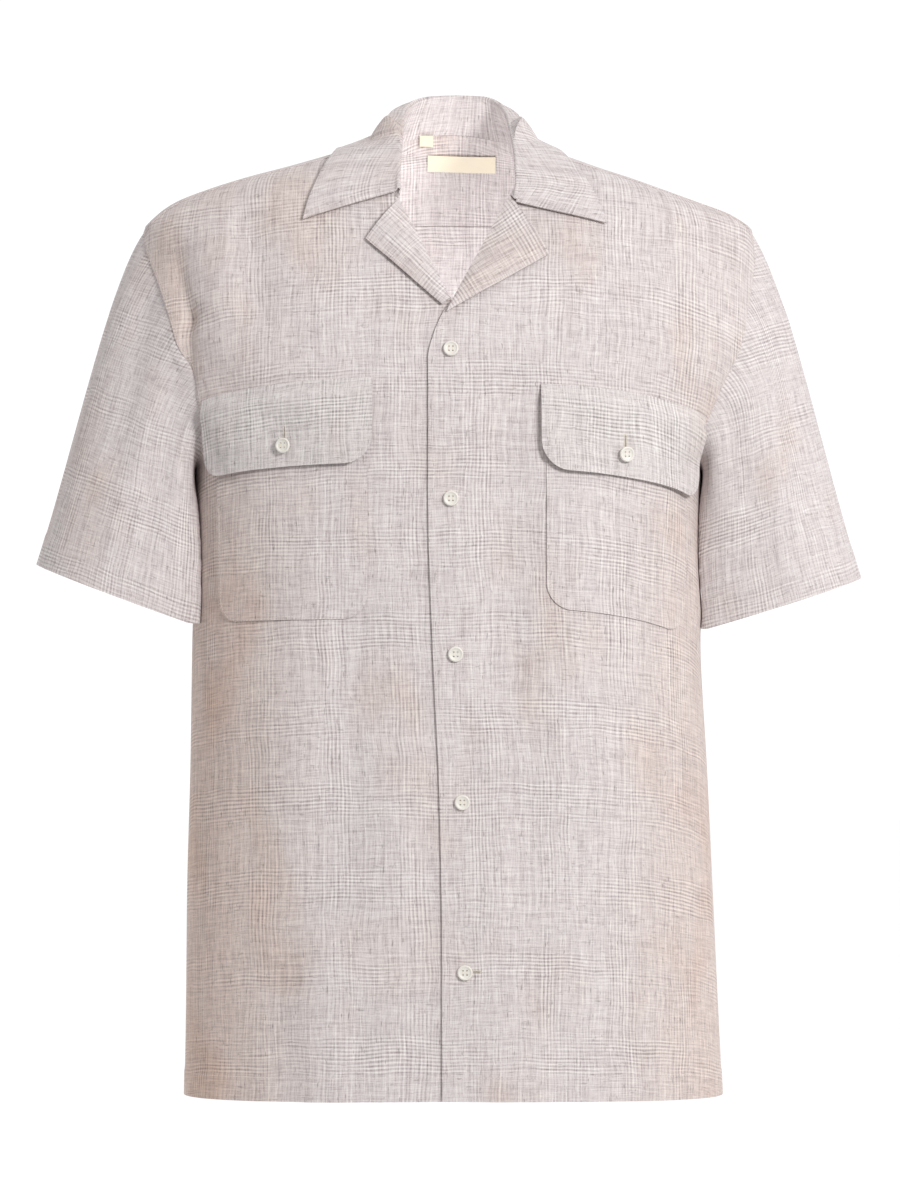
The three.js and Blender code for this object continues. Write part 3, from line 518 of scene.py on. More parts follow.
def body_flat(points, seam_lean=True):
    """Flat places of body points: millimetres across from the centre, and up."""
    x, z = points[..., 0], points[..., 2]
    right, left = slice_length(-1, points), slice_length(1, points)
    round_way = np.where(x < 0, -right, left)
    reach = np.where(x < 0, right, left) / SAG_REACH
    sag = np.where(x < 0, body_sag["right"](z), body_sag["left"](z)) * np.minimum(reach, 1.5) ** 3
    lean = centre_line["x"](z) * np.maximum(1 - np.abs(round_way) / SAG_REACH, 0) if seam_lean else 0
    return np.stack([round_way - lean, z + sag], axis=-1)


# %% [markdown]
# ## Fronts
# Each front is one cut piece, from the hem up to the shoulder seam, with the armhole taken out of its
# side. A man's left front laps over his right. Both fold open at the break, so above it the panel stops
# at the roll line. The hem is turned up once: a step of one more layer, a finger wide.

# %% Front panels
HEM_TURN = 20  # height of the turned-up hem
HEM_STEP = 0.45
SEAM_TUCK = 0.5  # how deep a seam pulls the cloth in
SEAM_TUCK_WIDTH = 2.2
ARMHOLE_RIDGE = {"height": 0.9, "flat": 3, "end": 12}  # the turned-in seam's height and width
FRONT_CELLS = {"across": 64, "low": 112, "high": 76}
UPPER_BREAK = 0.6  # share of the upper centre edge that lies below the break
NECK_SHARE = 0.285  # share of the front's top edge that lies on the neckline


def lap_lift(side, x, z):
    """The fronts part where one laps over the other: the left moves out and the right in."""
    from_centre = side * (x - centre_line["x"](z))
    near = 1 - smoothstep(from_centre, LAP + 8, LAP + 30)
    below = 1 - smoothstep(z, BREAK_HEIGHT + 5, BREAK_HEIGHT + 45)
    return side * LAYER_LIFT * near * below


def tuck(distance):
    """A seam's groove, by the distance from it."""
    return -SEAM_TUCK * np.exp(-((distance / SEAM_TUCK_WIDTH) ** 2))


def hem_step(z, hem):
    """The turned-up hem stands out by one more layer, with a soft upper edge."""
    return HEM_STEP * (1 - smoothstep(z - hem, HEM_TURN - 1.5, HEM_TURN + 1.5))


def run_across(grid):
    """How far each point lies from the grid's first column, measured on the cloth."""
    steps = np.linalg.norm(np.diff(grid, axis=1, prepend=grid[:, :1]), axis=-1)
    return np.cumsum(steps, axis=1)


def run_down(grid):
    """How far each point lies from the grid's first row, measured on the cloth."""
    return run_across(grid.transpose(1, 0, 2)).T


def seam_distance(grid, edge):
    """How far each point of a grid lies from one of its edges, along the grid."""
    run = run_across(grid) if edge.endswith("column") else run_down(grid)
    if edge == "last_column":
        return run[:, -1:] - run
    if edge == "last_row":
        return run[-1:] - run
    return run


def front_torso_grid(side):
    cells = FRONT_CELLS
    across = np.linspace(0, 1, cells["across"] + 1)

    def edge_at(z):
        return on_slice("front", front_edge(side, z), z)

    def centre_high(t):
        low_part = edge_at(lerp(ARMPIT, BREAK_HEIGHT, np.minimum(t / UPPER_BREAK, 1)))
        high_part = roll_line(side, np.maximum(t - UPPER_BREAK, 0) / (1 - UPPER_BREAK))
        return np.where((t <= UPPER_BREAK)[:, None], low_part, high_part)

    def bottom(t):
        return round_slice(side, 90 * t, lerp(HEM_FRONT, HEM_SIDE, t))

    def top(t):
        degrees = lerp(GORGE_DEGREES[side], NECK_SEAM_DEGREES, np.minimum(t / NECK_SHARE, 1))
        neck_part = neckline(side, degrees)
        seam_part = shoulder_seam(side, np.maximum(t - NECK_SHARE, 0) / (1 - NECK_SHARE))
        return np.where((t <= NECK_SHARE)[:, None], neck_part, seam_part)

    low_up = np.linspace(0, 1, cells["low"] + 1)
    high_up = np.linspace(0, 1, cells["high"] + 1)
    low = panel_rows(
        lambda t: edge_at(lerp(HEM_FRONT, ARMPIT, t)),
        lambda t: round_slice(side, 90, lerp(HEM_SIDE, ARMPIT, t)),
        bottom, top, across, low_up, 0 * low_up,
    )
    high = panel_rows(
        centre_high,
        lambda t: armhole(side, lerp(180, SHOULDER_SEAM_END[side], t)),
        bottom, top, across, high_up, high_up**1.3,
    )
    return pull_to_torso(np.concatenate([low, high[1:]]))


def hem_height(points):
    """The hem's height under a point: lower at the sides than in front and behind."""
    middle = np.where(points[..., 1] < 0, HEM_FRONT, HEM_BACK)
    return lerp(middle, HEM_SIDE, np.clip(np.abs(points[..., 0]) / 200, 0, 1) ** 2)


def side_edge(grid, edge):
    """A groove down the side seam, and a ridge round the armhole, where the seam is turned to the body."""
    distance = seam_distance(grid, edge)
    ridge = ARMHOLE_RIDGE["height"] * (1 - smoothstep(distance, ARMHOLE_RIDGE["flat"], ARMHOLE_RIDGE["end"]))
    return lerp(tuck(distance), ridge, smoothstep(grid[..., 2], ARMPIT - 4, ARMPIT + 8))


def make_front(word):
    side = SIDES[word]
    grid = front_torso_grid(side)
    out = lap_lift(side, grid[..., 0], grid[..., 2]) + hem_step(grid[..., 2], hem_height(grid))
    out = out + side_edge(grid, "last_column") + tuck(seam_distance(grid, "last_row"))
    return cloth_shell(f"front_{word}", cloth_point(grid, out, 1), body_flat(grid), torso_normal(grid))


for word in SIDES:
    make_front(word)

# %% [markdown]
# ## Back
# The back is one plain panel that hangs from the yoke, with no pleat. It is drawn like the fronts, from
# armhole to armhole, and its top edge follows the yoke seam down to the two armholes.

# %% Back panel
BACK_CELLS = {"across": 116, "low": 112, "high": 56}


def make_back():
    across = np.linspace(0, 1, BACK_CELLS["across"] + 1)

    def bottom(t):
        turn = lerp(-90, 90, t)
        z = lerp(HEM_BACK, HEM_SIDE, (turn / 90) ** 2)
        return np.where((turn < 0)[:, None], round_slice(-1, 180 + turn, z), round_slice(1, 180 - turn, z))

    def top(t):
        half = np.abs(2 * t - 1)
        return np.where((t < 0.5)[:, None], back_yoke_seam(-1, half), back_yoke_seam(1, half))

    low_up = np.linspace(0, 1, BACK_CELLS["low"] + 1)
    high_up = np.linspace(0, 1, BACK_CELLS["high"] + 1)
    low = panel_rows(
        lambda t: round_slice(-1, 90, lerp(HEM_SIDE, ARMPIT, t)) * [1, 0, 1],
        lambda t: round_slice(1, 90, lerp(HEM_SIDE, ARMPIT, t)) * [1, 0, 1],
        bottom, top, across, low_up, 0 * low_up,
    )
    high = panel_rows(
        lambda t: armhole(-1, lerp(180, 360 - YOKE_BACK_END, t)),
        lambda t: armhole(1, lerp(180, 360 - YOKE_BACK_END, t)),
        bottom, top, across, high_up, high_up,
    )
    grid = pull_to_torso(np.concatenate([low, high[1:]]))
    out = hem_step(grid[..., 2], hem_height(grid)) + tuck(seam_distance(grid, "last_row"))
    out = out + side_edge(grid, "first_column") + side_edge(grid, "last_column")
    return cloth_shell("back", cloth_point(grid, out, 1), body_flat(grid, False), torso_normal(grid))


make_back()

# %% [markdown]
# ## Yoke
# The yoke runs from the back over both shoulders, to seams a little in front of their tops. Its inside
# shows through the neck, so both skins matter here. It is drawn column by column from one armhole to the
# other, and its flat map is measured along the shoulders and down from the yoke seam.

# %% Yoke
YOKE_CELLS = {"half": 64, "neck": 26, "deep": 40}
YOKE_LAP = 0.7  # the yoke's edges turn over the panels' edges by this much
YOKE_LIFT = 0.3


def yoke_chord(start, end, share):
    return height_at(lerp(start[0], end[0], share), lerp(start[1], end[1], share))


def yoke_column(side, count):
    """One line of the yoke, from its front seam or the neckline back to the yoke seam."""
    neck, half = YOKE_CELLS["neck"], YOKE_CELLS["half"]
    along = max(count - neck, 0) / (half - neck)
    start = neckline(side, NECK_SEAM_DEGREES * count / neck) if count <= neck else shoulder_seam(side, along)
    end = back_yoke_seam(side, count / half)
    length = np.linalg.norm(end - start)
    first = -YOKE_LAP / length if count > neck else 0
    share = np.linspace(first, 1 + YOKE_LAP / length, YOKE_CELLS["deep"] + 1)
    on_armhole = armhole(side, lerp(SHOULDER_SEAM_END[side], -YOKE_BACK_END, share))
    bulge = on_armhole - yoke_chord(armhole(side, SHOULDER_SEAM_END[side]), back_yoke_seam(side, 1), share)
    return yoke_chord(start, end, share) + bulge * along**3


def make_yoke():
    half = YOKE_CELLS["half"]
    columns = [yoke_column(np.sign(i) or 1, abs(i)) for i in range(-half, half + 1)]
    grid = pull_to_torso(np.stack(columns))
    out = YOKE_LIFT + tuck(seam_distance(grid, "first_row")) + tuck(seam_distance(grid, "last_row"))
    wide = run_down(grid)
    flat = np.stack([wide - wide[half], YOKE_DROP + seam_distance(grid, "last_column")], axis=-1)
    return cloth_shell("yoke", cloth_point(grid, out, 1), flat, torso_normal(grid))


make_yoke()

# %% [markdown]
# ## Sleeves
# A set-in sleeve is a tube whose head is eased into the armhole and whose hem is a tilted ring. Each of
# its lines leaves the armhole in the way that the table gives and runs down to the hem, so the head is
# full and the underarm short. The seam turns towards the body, so the sleeve starts just under it.

# %% Sleeves
SLEEVE = {"radius": 61, "inner_half": 100, "centre_x": 259, "contact_x": 197, "contact": 1.3}
SLEEVE_HEM = {
    -1: {"centre_y": -10, "centre_z": -334, "tilt": 20.5, "bow": 1},
    1: {"centre_y": 8, "centre_z": -341, "tilt": 17.5, "bow": 2},
}
SLEEVE_START = {
    # out from the body, forward, up, reach
    -1: {
        "top": [0.6, 0, -0.8, 130],
        "front": [0.72, -0.3, -0.6, 120],
        "under": [1, 0, 0.1, 36],
        "back": [0.75, -0.35, -0.55, 120],
    },
    1: {
        "top": [0.6, 0, -0.8, 130],
        "front": [0.8, -0.15, -0.6, 120],
        "under": [1, 0, 0.1, 36],
        "back": [0.75, -0.35, -0.55, 120],
    },
}
SLEEVE_FOLDS = [
    # side, degrees, down, to degrees, to down, depth, width
    [-1, 60, 0.12, 74, 0.62, -2.2, 8],
    [-1, 98, 0.30, 84, 0.80, 1.6, 10],
    [-1, 36, 0.25, 40, 0.95, 1.4, 11],
    [-1, 118, 0.15, 104, 0.55, -1.8, 8],
    [-1, 300, 0.20, 288, 0.75, -2.0, 10],
    [-1, 262, 0.35, 254, 0.95, 1.6, 12],
    [1, 58, 0.15, 66, 0.70, -2.0, 9],
    [1, 92, 0.25, 86, 0.85, 1.6, 10],
    [1, 34, 0.30, 30, 0.98, 1.2, 11],
    [1, 116, 0.18, 106, 0.60, -1.8, 8],
    [1, 296, 0.18, 292, 0.80, -2.0, 10],
    [1, 258, 0.30, 264, 0.90, 1.6, 12],
]
SLEEVE_CELLS = {"around": 108, "down": 84}
SLEEVE_HEM_TURN = 24
UNDER_SEAM = 0.7  # the sleeve's head lies this far under the body's cloth
HEAD_SHARE = 0.06  # share of the sleeve's length in which its folds and contact fade out at the head


def clear_of_torso(points, clear):
    """Moves points out until they stand clear of the cloth on the torso, where clear is over 0."""
    on_torso = pull_to_torso(points, 5)
    normal = torso_normal(on_torso)
    away = np.sum((points - on_torso) * normal, axis=-1) - height_of_folds(on_torso, FOLD_LINES)
    push = np.where(np.asarray(clear) > 0, np.maximum(clear - away, 0), 0)
    return points + normal * push[..., None]


def quarter_shares(degrees):
    cosine, sine = np.cos(np.radians(degrees)), np.sin(np.radians(degrees))
    return {
        "top": np.maximum(cosine, 0) ** 2,
        "front": np.maximum(sine, 0) ** 2,
        "under": np.maximum(-cosine, 0) ** 2,
        "back": np.maximum(-sine, 0) ** 2,
    }


def sleeve_grid(side, degrees, down):
    """Points of the sleeve's middle surface, a row for each value of down."""
    hole = armhole(side, degrees)
    start = cloth_point(hole, -UNDER_SEAM)
    way, reach = np.zeros(hole.shape), np.zeros(len(degrees))
    for name, share in quarter_shares(degrees).items():
        out, forward, up, length = SLEEVE_START[side][name]
        way += unit(np.array([side * out, -forward, up])) * share[:, None]
        reach += length * share
    leave = unit(way) * reach[:, None]
    hem_ring = sleeve_hem(side, degrees)
    t = down[:, None, None]
    return hermite(start[None], leave[None], hem_ring[None], (hem_ring - start)[None], t)


def sleeve_hem(side, degrees):
    """The ring's outer half is round. Its inner half reaches into the body, and is pushed out later."""
    hem = SLEEVE_HEM[side]
    angle, tilt = np.radians(degrees), math.radians(hem["tilt"])
    half = np.where(np.cos(angle) > 0, SLEEVE["radius"], SLEEVE["inner_half"])
    out = half * np.cos(angle) * math.cos(tilt)
    forward = SLEEVE["radius"] * np.sin(angle)
    out_on_plane = np.maximum(out, SLEEVE["contact_x"] - SLEEVE["centre_x"])
    bow = hem["bow"] * np.abs(forward) / SLEEVE["radius"]
    return points_of(
        side * (SLEEVE["centre_x"] + out),
        hem["centre_y"] - forward,
        hem["centre_z"] + out_on_plane * math.tan(tilt) - bow,
    )


def sleeve_flat(side, grid):
    """Across is the way round the tube from its outer line, and up is the distance from the hem."""
    tilt = math.radians(SLEEVE_HEM[side]["tilt"])
    axis = np.array([-side * math.sin(tilt), 0, math.cos(tilt)])
    hem = SLEEVE_HEM[side]
    hem_middle = np.array([side * SLEEVE["centre_x"], hem["centre_y"], hem["centre_z"]])
    up = (grid - hem_middle) @ axis
    steps = np.linalg.norm(np.roll(grid, -1, axis=1) - grid, axis=-1)
    round_way = np.concatenate([0 * steps[:, :1], np.cumsum(steps, axis=1)[:, :-1]], axis=1)
    girth = steps[-1].sum()
    round_way *= girth / steps.sum(axis=1, keepdims=True)
    return np.stack([side * round_way, up], axis=-1)


def grid_normals_out(grid):
    """Normals of a tube, turned away from its middle."""
    normals = grid_normals(grid, closed=True)
    outward = grid - grid.mean(axis=1, keepdims=True)
    return normals * np.sign(np.sum(normals * outward, axis=-1).mean())


def make_sleeve(word):
    side = SIDES[word]
    degrees = 360 * np.arange(SLEEVE_CELLS["around"]) / SLEEVE_CELLS["around"]
    down = np.linspace(0, 1, SLEEVE_CELLS["down"] + 1)
    grid = sleeve_grid(side, degrees, down)
    normals = grid_normals_out(grid)
    out = np.zeros(grid.shape[:2])
    for fold_side, turn, from_down, to_turn, to_down, depth, width in SLEEVE_FOLDS:
        if fold_side == side:
            start, end = (sleeve_grid(side, np.array([a]), np.array([b]))[0, 0]
                          for a, b in ((turn, from_down), (to_turn, to_down)))
            out += height_of_folds(grid, [(start, end, depth, width)])
    inner = smoothstep(-np.cos(np.radians(degrees)), -0.3, 0.2)
    from_head = smoothstep(down, 0, HEAD_SHARE)[:, None]
    clear = SLEEVE["contact"] * inner * from_head
    flat = sleeve_flat(side, grid)
    out += HEM_STEP * (1 - smoothstep(flat[..., 1], SLEEVE_HEM_TURN - 1.5, SLEEVE_HEM_TURN + 1.5))
    hung = clear_of_torso(grid + normals * (out * from_head)[..., None], clear)
    return cloth_shell(f"sleeve_{word}", hung, flat, grid_normals_out(hung), closed=True)


for word in SIDES:
    make_sleeve(word)

# %% [markdown]
# ## Camp collar
# A camp collar is one piece of doubled cloth: it rises from the neckline, folds over and falls to an edge
# that lies on the yoke and the fronts. Each section across it is a stand, a small round fold and a falling
# curve, and a table says where the fold and the edge run from the back centre to the front.

# %% Collar
COLLAR = {
    "fold_radius": 1.5, "clear": 3.6, "seam": 0.3,
    # the fall leaves the fold straight down for half the stand's height, and comes in over the edge
    "hang": 0.5, "approach": 0.35, "approach_lift": 3,
}
COLLAR_FRONT_DROP = {-1: 0, 1: 9, "from": 0.86}
COLLAR_CELLS = {"half": 72, "stand": 12, "fold": 8, "fall": 26}
collar_line = smooth_table(
    ["share", "fold_right", "fold_left", "fold_y", "fold_z", "edge_right", "edge_left", "edge_y"],
    [
        [0, -6, 6, 70, 54.6, -5, 5, 93],
        [0.15, 15, 27, 67.5, 53.5, 26, 32, 91],
        [0.3, 29, 38, 57, 48.5, 53, 56, 82],
        [0.45, 34.5, 43.5, 34, 39.5, 74, 73, 56],
        [0.6, 35.3, 46, 6, 27, 82.5, 79, 22],
        [0.75, 36, 48.5, -22, 11, 85, 84, -9],
        [0.88, 37.2, 50.3, -45, -9, 96, 101, -39],
        [1, 38, 48.5, -67, -27.5, 110, 119, -69],
    ],
)


def collar_fold(side, share):
    word = "right" if side < 0 else "left"
    down = COLLAR_FRONT_DROP[side] * smoothstep(share, COLLAR_FRONT_DROP["from"], 1)
    across = side * (collar_line[f"fold_{word}"](share) + down / 3)
    return points_of(across, collar_line["fold_y"](share) - down / 2, collar_line["fold_z"](share) - down)


def collar_grid():
    """A row for each section, from the foot of the stand over the fold to the edge."""
    half = COLLAR_CELLS["half"]
    counts = np.arange(-half, half + 1)
    rows = []
    for count in counts:
        side, share = (-1 if count < 0 else 1), abs(count) / half
        word = "right" if side < 0 else "left"
        seam = cloth_point(neckline(side, GORGE_DEGREES[side] * share))
        fold = collar_fold(side, share)
        along = unit(collar_fold(side, min(share + 0.01, 1)) - collar_fold(side, max(share - 0.01, 0)))
        edge_base = height_at(side * collar_line[f"edge_{word}"](share), collar_line["edge_y"](share))
        edge = cloth_point(edge_base, COLLAR["clear"])
        rise = fold - seam
        height = np.linalg.norm(rise)
        up = unit(rise - along * (rise @ along))
        out = unit(np.cross(along, up))
        out = out if (edge - fold) @ out > 0 else -out
        radius = COLLAR["fold_radius"]
        turn = np.radians(np.linspace(0, 180, COLLAR_CELLS["fold"], endpoint=False))[:, None]
        heart = fold - up * radius
        over = heart - out * radius * np.cos(turn) + up * radius * np.sin(turn)
        foot = seam + up * COLLAR["seam"]
        stand = lerp(foot, over[0], np.linspace(0, 1, COLLAR_CELLS["stand"], endpoint=False)[:, None])
        leave = heart + out * radius
        near_edge = lerp(edge, leave, COLLAR["approach"]) + torso_normal(edge_base) * COLLAR["approach_lift"]
        handles = [leave, leave - up * COLLAR["hang"] * height, near_edge, edge]
        t = np.linspace(0, 1, COLLAR_CELLS["fall"] + 1)[:, None]
        shares = [(1 - t) ** 3, 3 * t * (1 - t) ** 2, 3 * t**2 * (1 - t), t**3]
        fall = sum(share * handle for share, handle in zip(shares, handles))
        rows.append(np.concatenate([stand, over, fall]))
    grid = np.stack(rows)
    first_fall = COLLAR_CELLS["stand"] + COLLAR_CELLS["fold"]
    grid[:, first_fall:] = clear_of_torso(grid[:, first_fall:], COLLAR["clear"])
    return grid


def grid_flat(grid, middle_row):
    """Flat places of a free piece: along its middle column and across its rows."""
    column = grid.shape[1] // 2
    along = run_down(grid)[:, column]
    along = along - along[middle_row]
    across = run_across(grid)
    return np.stack([np.broadcast_to(along[:, None], across.shape), -across], axis=-1)


collar_rows = collar_grid()
cloth_shell("collar", collar_rows, grid_flat(collar_rows, COLLAR_CELLS["half"]), thickness=DOUBLE_CLOTH)

# %% [markdown]
# ## Lapels
# Where the fronts fold open, their facings show: that is the lapel. It rolls out of the front at the roll
# line, puffs up and comes down to a pressed edge. The facing is cut with the front edge's grain, so the
# check turns with the lapel's long edge.

# %% Lapels
LAPEL = {
    # corners in the front view, and where the roll ends beyond the break
    -1: {"tip": [-62.7, -68], "foot": [-5, -118.5], "roll_end": 0.03},
    1: {"tip": [75.8, -80], "foot": [-1.5, -124.5], "roll_end": -0.02},
}
LAPEL_START = 0.985  # the lapel starts just under the gorge on the roll line
LAPEL_CELLS = {"along": 44, "out": 30}
LAPEL_LIFT = {"roll": 1.2, "puff": 3.6, "edge": 3.2}


def front_point(side, x, z, out=0.0):
    """Points of a front's middle surface, given in the front view."""
    return cloth_point(on_slice("front", x, z), lap_lift(side, x, z) + out, 1)


def make_lapel(word):
    side = SIDES[word]
    size = LAPEL[side]
    down = np.linspace(0, 1, LAPEL_CELLS["along"] + 1)[:, None]
    out = np.linspace(0, 1, LAPEL_CELLS["out"] + 1)[None]
    roll = roll_line(side, lerp(LAPEL_START, size["roll_end"], down[:, 0]))
    tip, foot = np.array(size["tip"]), np.array(size["foot"])
    x = lerp(roll[:, :1], lerp(tip[0], foot[0], down), out)
    z = lerp(roll[:, 2:], lerp(tip[1], foot[1], down), out)
    puff = LAPEL_LIFT["puff"] * np.sin(np.pi * out) * (1 - 0.6 * down)
    grid = front_point(side, x, z, lerp(LAPEL_LIFT["roll"], LAPEL_LIFT["edge"], out) + puff)
    edge_way = unit(tip - foot)
    across_way = np.array([edge_way[1], -edge_way[0]])
    places = np.stack([x - foot[0], z - foot[1]], axis=-1)
    flat = np.stack([places @ across_way, places @ edge_way], axis=-1)
    normals = torso_normal(on_slice("front", x, z))
    return cloth_shell(f"front_facing_{word}", grid, flat, normals, DOUBLE_CLOTH)


for word in SIDES:
    make_lapel(word)

# %% [markdown]
# ## Chest pockets and flaps
# A patch pocket is laid on the front's own threads, so it is measured along the cloth: so far from the
# centre, so far down. Its flap is cut from doubled cloth and sewn on above the mouth, and it stands off
# the pocket a little. The check runs straight to the patch's own edges.

# %% Pockets and flaps
POCKETS = {
    # the taper is how far the outer side leans in at the foot
    -1: {
        "start": 57, "width": 137, "top": -173, "droop": 22, "foot_droop": 5, "foot": 181,
        "taper": 6, "flap_taper": -4,
    },
    1: {
        "start": 69, "width": 139, "top": -177, "droop": 26, "foot_droop": 32, "foot": 168,
        "taper": 14, "flap_taper": 0,
    },
}
POCKET = {"mouth": 15, "corner": 20, "lift": 1.3, "inset": 4}
FLAP = {"height": 64, "corner": 22, "seam_lift": 1.4, "lift": 5.8}
FLAP_WAVE = {"height": 0.9, "half_waves": 2.6, "start": 0.6}
CORNER_SHARE = 0.94  # a corner draws in by this share of its arc, so its foot keeps a short straight end
PATCH_SHIFT = {"across": 4, "up": 3}  # how far a patch's threads lie out of line with the front's
CHEST_STEPS = 60
POCKET_CELLS = {"across": 54, "down": 64}
FLAP_CELLS = {"across": 54, "down": 30}


def on_chest(side, along, down, out=0.0, fine=1):
    """Places on a chest from cloth measures: along the pocket's width and down from the flap's seam."""
    size = POCKETS[side]
    along, down = np.broadcast_arrays(np.asarray(along, float), np.asarray(down, float))
    distance = size["start"] + along
    sag = lerp(size["droop"], size["foot_droop"], down / size["foot"]) * (distance / SAG_REACH) ** 3
    z = size["top"] - down - sag
    turns = 90 * np.arange(CHEST_STEPS + 1) / CHEST_STEPS
    rings = round_slice(side, np.broadcast_to(turns, (*z.shape, CHEST_STEPS + 1)), z[..., None])
    lengths = np.cumsum(np.linalg.norm(np.diff(rings, axis=-2), axis=-1), axis=-1)
    lengths = np.concatenate([0 * lengths[..., :1], lengths], axis=-1)
    before = np.clip(np.sum(lengths <= distance[..., None], axis=-1) - 1, 0, CHEST_STEPS - 1)[..., None]
    start, end = (np.take_along_axis(lengths, before + k, axis=-1)[..., 0] for k in (0, 1))
    low, high = (np.take_along_axis(rings, (before + k)[..., None], axis=-2)[..., 0, :] for k in (0, 1))
    share = np.clip((distance - start) / (end - start), 0, 1)
    place = lerp(low, high, share[..., None])
    return place, cloth_point(place, out, fine)


def patch_places(width, taper, start, end, corner, inset, cells):
    """Along and down for a patch whose lower corners are round."""
    down = lerp(start, end, np.sin(np.pi * np.linspace(0, 1, cells["down"] + 1) / 2))[:, None]
    into = np.maximum(down - (end - corner), 0)
    drawn = inset + CORNER_SHARE * (corner - np.sqrt(np.maximum(corner**2 - into**2, 0)))
    outer_side = width - taper * down / end
    return lerp(drawn, outer_side - drawn, np.linspace(0, 1, cells["across"] + 1)[None]), down


def flap_lift(down, along, width):
    """A flap lies close at its seam and stands off towards its foot, wavy where the linen has curled."""
    rise = lerp(FLAP["seam_lift"], FLAP["lift"], smoothstep(down, 0, POCKET["mouth"] - 2))
    turn = FLAP_WAVE["half_waves"] * math.pi * along / width + FLAP_WAVE["start"]
    return rise + FLAP_WAVE["height"] * np.sin(turn) * smoothstep(down, 20, FLAP["height"])


def patch_flat(side, along, down):
    """The patch's flat places carry on from the front's, a few threads out of line."""
    size = POCKETS[side]
    across = side * (size["start"] + along + PATCH_SHIFT["across"])
    return np.stack(np.broadcast_arrays(across, size["top"] - down + PATCH_SHIFT["up"]), axis=-1)


def make_pocket(word):
    side = SIDES[word]
    size = POCKETS[side]
    along, down = patch_places(
        size["width"], size["taper"], POCKET["mouth"], size["foot"],
        POCKET["corner"], POCKET["inset"], POCKET_CELLS,
    )
    place, grid = on_chest(side, along, down, POCKET["lift"])
    return cloth_shell(f"pocket_{word}", grid, patch_flat(side, along, down), torso_normal(place), CLOTH)


def make_flap(word):
    side = SIDES[word]
    width, taper = POCKETS[side]["width"], POCKETS[side]["flap_taper"]
    along, down = patch_places(width, taper, 0, FLAP["height"], FLAP["corner"], 0, FLAP_CELLS)
    place, grid = on_chest(side, along, down, flap_lift(down, along, width))
    flat = patch_flat(side, along + 7, down - 5)
    return cloth_shell(f"pocket_flap_{word}", grid, flat, torso_normal(place), DOUBLE_CLOTH)


for word in SIDES:
    make_pocket(word)
    make_flap(word)

# %% [markdown]
# ## Colours and a helper for nodes
# Colours are picked from the real thing as sRGB hex and made linear once. One function adds a
# shader node with its settings and links, so a material reads as a list of what feeds what.

# %% Colour and node helpers
def linear(hex_colour):
    """An sRGB hex colour as linear RGBA."""
    parts = [int(hex_colour[i : i + 2], 16) / 255 for i in (1, 3, 5)]
    return (*[p / 12.92 if p <= 0.04045 else ((p + 0.055) / 1.055) ** 2.4 for p in parts], 1)


def add_node(tree, kind, settings=None, inputs=None, links=None):
    """Adds a node: settings are its own properties, inputs its socket values, links its incoming wires."""
    new = tree.nodes.new(kind)
    for key, value in (settings or {}).items():
        setattr(new, key, value)
    for key, value in (inputs or {}).items():
        new.inputs[key].default_value = value
    for key, source in (links or {}).items():
        tree.links.new(source, new.inputs[key])
    return new


def new_material(name):
    material = bpy.data.materials.new(name)
    material.use_nodes = True
    shader = material.node_tree.nodes["Principled BSDF"]
    return material, material.node_tree, shader


print("middle grey in sRGB is linear", round(linear("#808080")[0], 3))

# %% [markdown]
# ## Linen in a glen check
# The real cloth is yarn-dyed linen, plain woven from pale and grey-brown threads. In a glen check, bands
# of light and dark thread pairs run both ways over a plainer ground. The contrast here is low, and linen
# yarn is uneven, so the bands fade in and out and streaks of yarn show as strongly as they do. Stray dark
# slubs lie here and there. The cloth is a cool mauve grey in the middle of the shirt, with beige patches
# here and there. Down both sides and lower down it is darkened and tinted beige by its place on the shirt:
# that is painted shade, where the body turns away from the light. Single threads are 0.4 mm and too fine
# to show, so short streaks about 1 mm wide stand for them. It is made from Wave and Noise textures on the
# flat-cloth map, in real millimetres, so that the threads follow each cut piece as they would on a sewn
# shirt.

# %% Linen
PAIR_PITCH = 2.8  # one light and one dark stripe inside a band
CHECK_ACROSS = 55.0  # from one upright band to the next
CHECK_UP = 63.5  # from one level band to the next
BAND = 0.44
WAVE_STEP = 2 * math.pi / 20  # Blender's wave repeats every 2 pi / 20 of its scaled input


def noise(tree, place, scale, detail=3, kind="2D"):
    """Noise drawn out along the threads. scale is per millimetre across and up."""
    stretched = add_node(
        tree, "ShaderNodeVectorMath", {"operation": "MULTIPLY"}, {1: (*scale, 1)}, {0: place}
    )
    return add_node(
        tree, "ShaderNodeTexNoise", {"noise_dimensions": kind},
        {"Scale": 1.0, "Detail": detail, "Roughness": 0.6}, {"Vector": stretched.outputs[0]},
    )


def spread(tree, value, low, high, to_low=-1.0, to_high=1.0, soft=False):
    """Stretches the part of a value between low and high over another range, and clips the rest."""
    settings = {"interpolation_type": "SMOOTHSTEP"} if soft else None
    return add_node(
        tree, "ShaderNodeMapRange", settings,
        {"From Min": low, "From Max": high, "To Min": to_low, "To Max": to_high}, {"Value": value},
    )


def product(tree, first, second):
    return add_node(
        tree, "ShaderNodeMath", {"operation": "MULTIPLY"}, None, {0: first.outputs[0], 1: second.outputs[0]}
    )


def sum_of(tree, parts, start):
    """start plus each part times its weight."""
    total = None
    for value, weight in parts:
        total = add_node(
            tree, "ShaderNodeMath", {"operation": "MULTIPLY_ADD"},
            {1: weight, 2: start} if total is None else {1: weight},
            {0: value.outputs[0]} if total is None else {0: value.outputs[0], 2: total.outputs[0]},
        )
    return total


